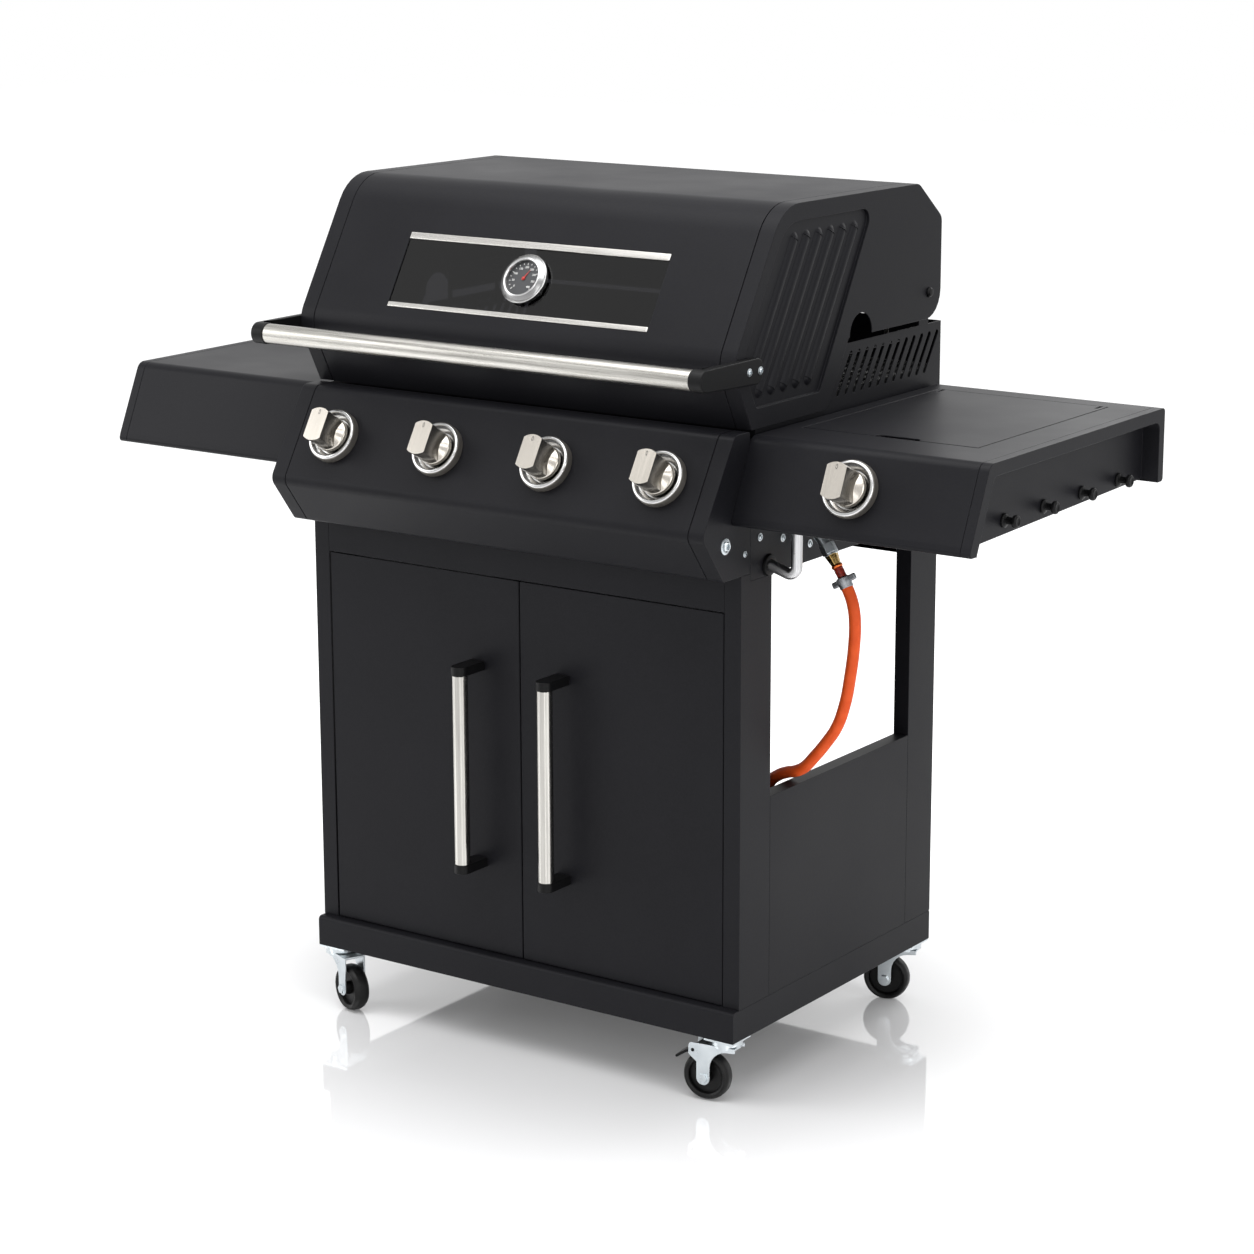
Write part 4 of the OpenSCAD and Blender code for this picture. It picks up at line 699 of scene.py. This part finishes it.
# The hand is a flat needle on a round boss, a little to the right of upright.
hand_length, hand_root, hand_tip, hand_flatness = 0.016, 0.0010, 0.0002, 0.3
hand_middle, hand_level, hand_turn = 0.0055, 0.0079, math.radians(-30)
hand = bmesh.new()
bmesh.ops.create_cone(hand, cap_ends=True, segments=4, radius1=hand_root, radius2=hand_tip,
                      depth=hand_length)
hand.transform(Matrix.Rotation(hand_turn, 4, "Z")
               @ Matrix.Translation((0, hand_middle, hand_level))
               @ Matrix.Rotation(math.radians(-90), 4, "X")
               @ Matrix.Diagonal((1, hand_flatness, 1, 1)))
boss = turned([(0, .0070), (.0022, .0070), (.0022, .0082), (.0014, .0090), (0, .0090)], 32)
hand = joined(hand, boss)
hand.transform(upright)
piece("thermometer_hand", hand, red_ink, "lid")

# ---- Doors ----------------------------------------------------------------------
# Two pan-shaped doors of coated sheet on pivot pins. Each has an upright tube handle
# held between moulded end caps, round in front and square at the door.
# Drawn stainless door tube: strong light and dark lines along its length, partly the die's lines
# and partly painted reflection bands.
up_tube = brushed("drawn_stainless_door_tube", "#94928e", 0.19, (240, 240, 5), "#b5b3ae")
cap_height, tube_radius = 0.012, 0.010
for side, body in (("left", "left_door"), ("right", "right_door")):
    clad(f"door_{side}", coat, body, 0.0008)
    low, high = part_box(f"door_{side}_handle")
    half = (high.x - low.x) / 2
    x, y = (low.x + high.x) / 2, low.y + half
    cap = bmesh.new()
    bmesh.ops.create_circle(cap, cap_ends=True, segments=64, radius=half)
    bmesh.ops.transform(cap, matrix=Matrix.Translation((x, y, low.z)), verts=cap.verts)
    # The rear half of the circle is squared off against the door.
    for v in cap.verts:
        if v.co.y > y + 0.0002:
            v.co.y = high.y
            if abs(v.co.x - x) > 1e-5:
                v.co.x = x + math.copysign(half, v.co.x - x)
    bmesh.ops.remove_doubles(cap, verts=cap.verts, dist=1e-5)
    up = bmesh.ops.extrude_face_region(cap, geom=cap.faces[:])
    raised = [g for g in up["geom"] if isinstance(g, bmesh.types.BMVert)]
    bmesh.ops.translate(cap, verts=raised, vec=(0, 0, cap_height))
    bmesh.ops.recalc_face_normals(cap, faces=cap.faces)
    soften(cap, 0.0012, 3)
    top_cap = cap.copy()
    bmesh.ops.translate(top_cap, verts=top_cap.verts, vec=(0, 0, high.z - low.z - cap_height))
    piece(f"{side}_door_handle_caps", joined(cap, top_cap), plastic, body,
          [f"door_{side}_handle"])
    tube = open_tube(tube_radius, high.z - low.z - 2 * cap_height)
    piece(f"{side}_door_handle_tube", moved(tube, (x, y, low.z + cap_height)), up_tube, body)
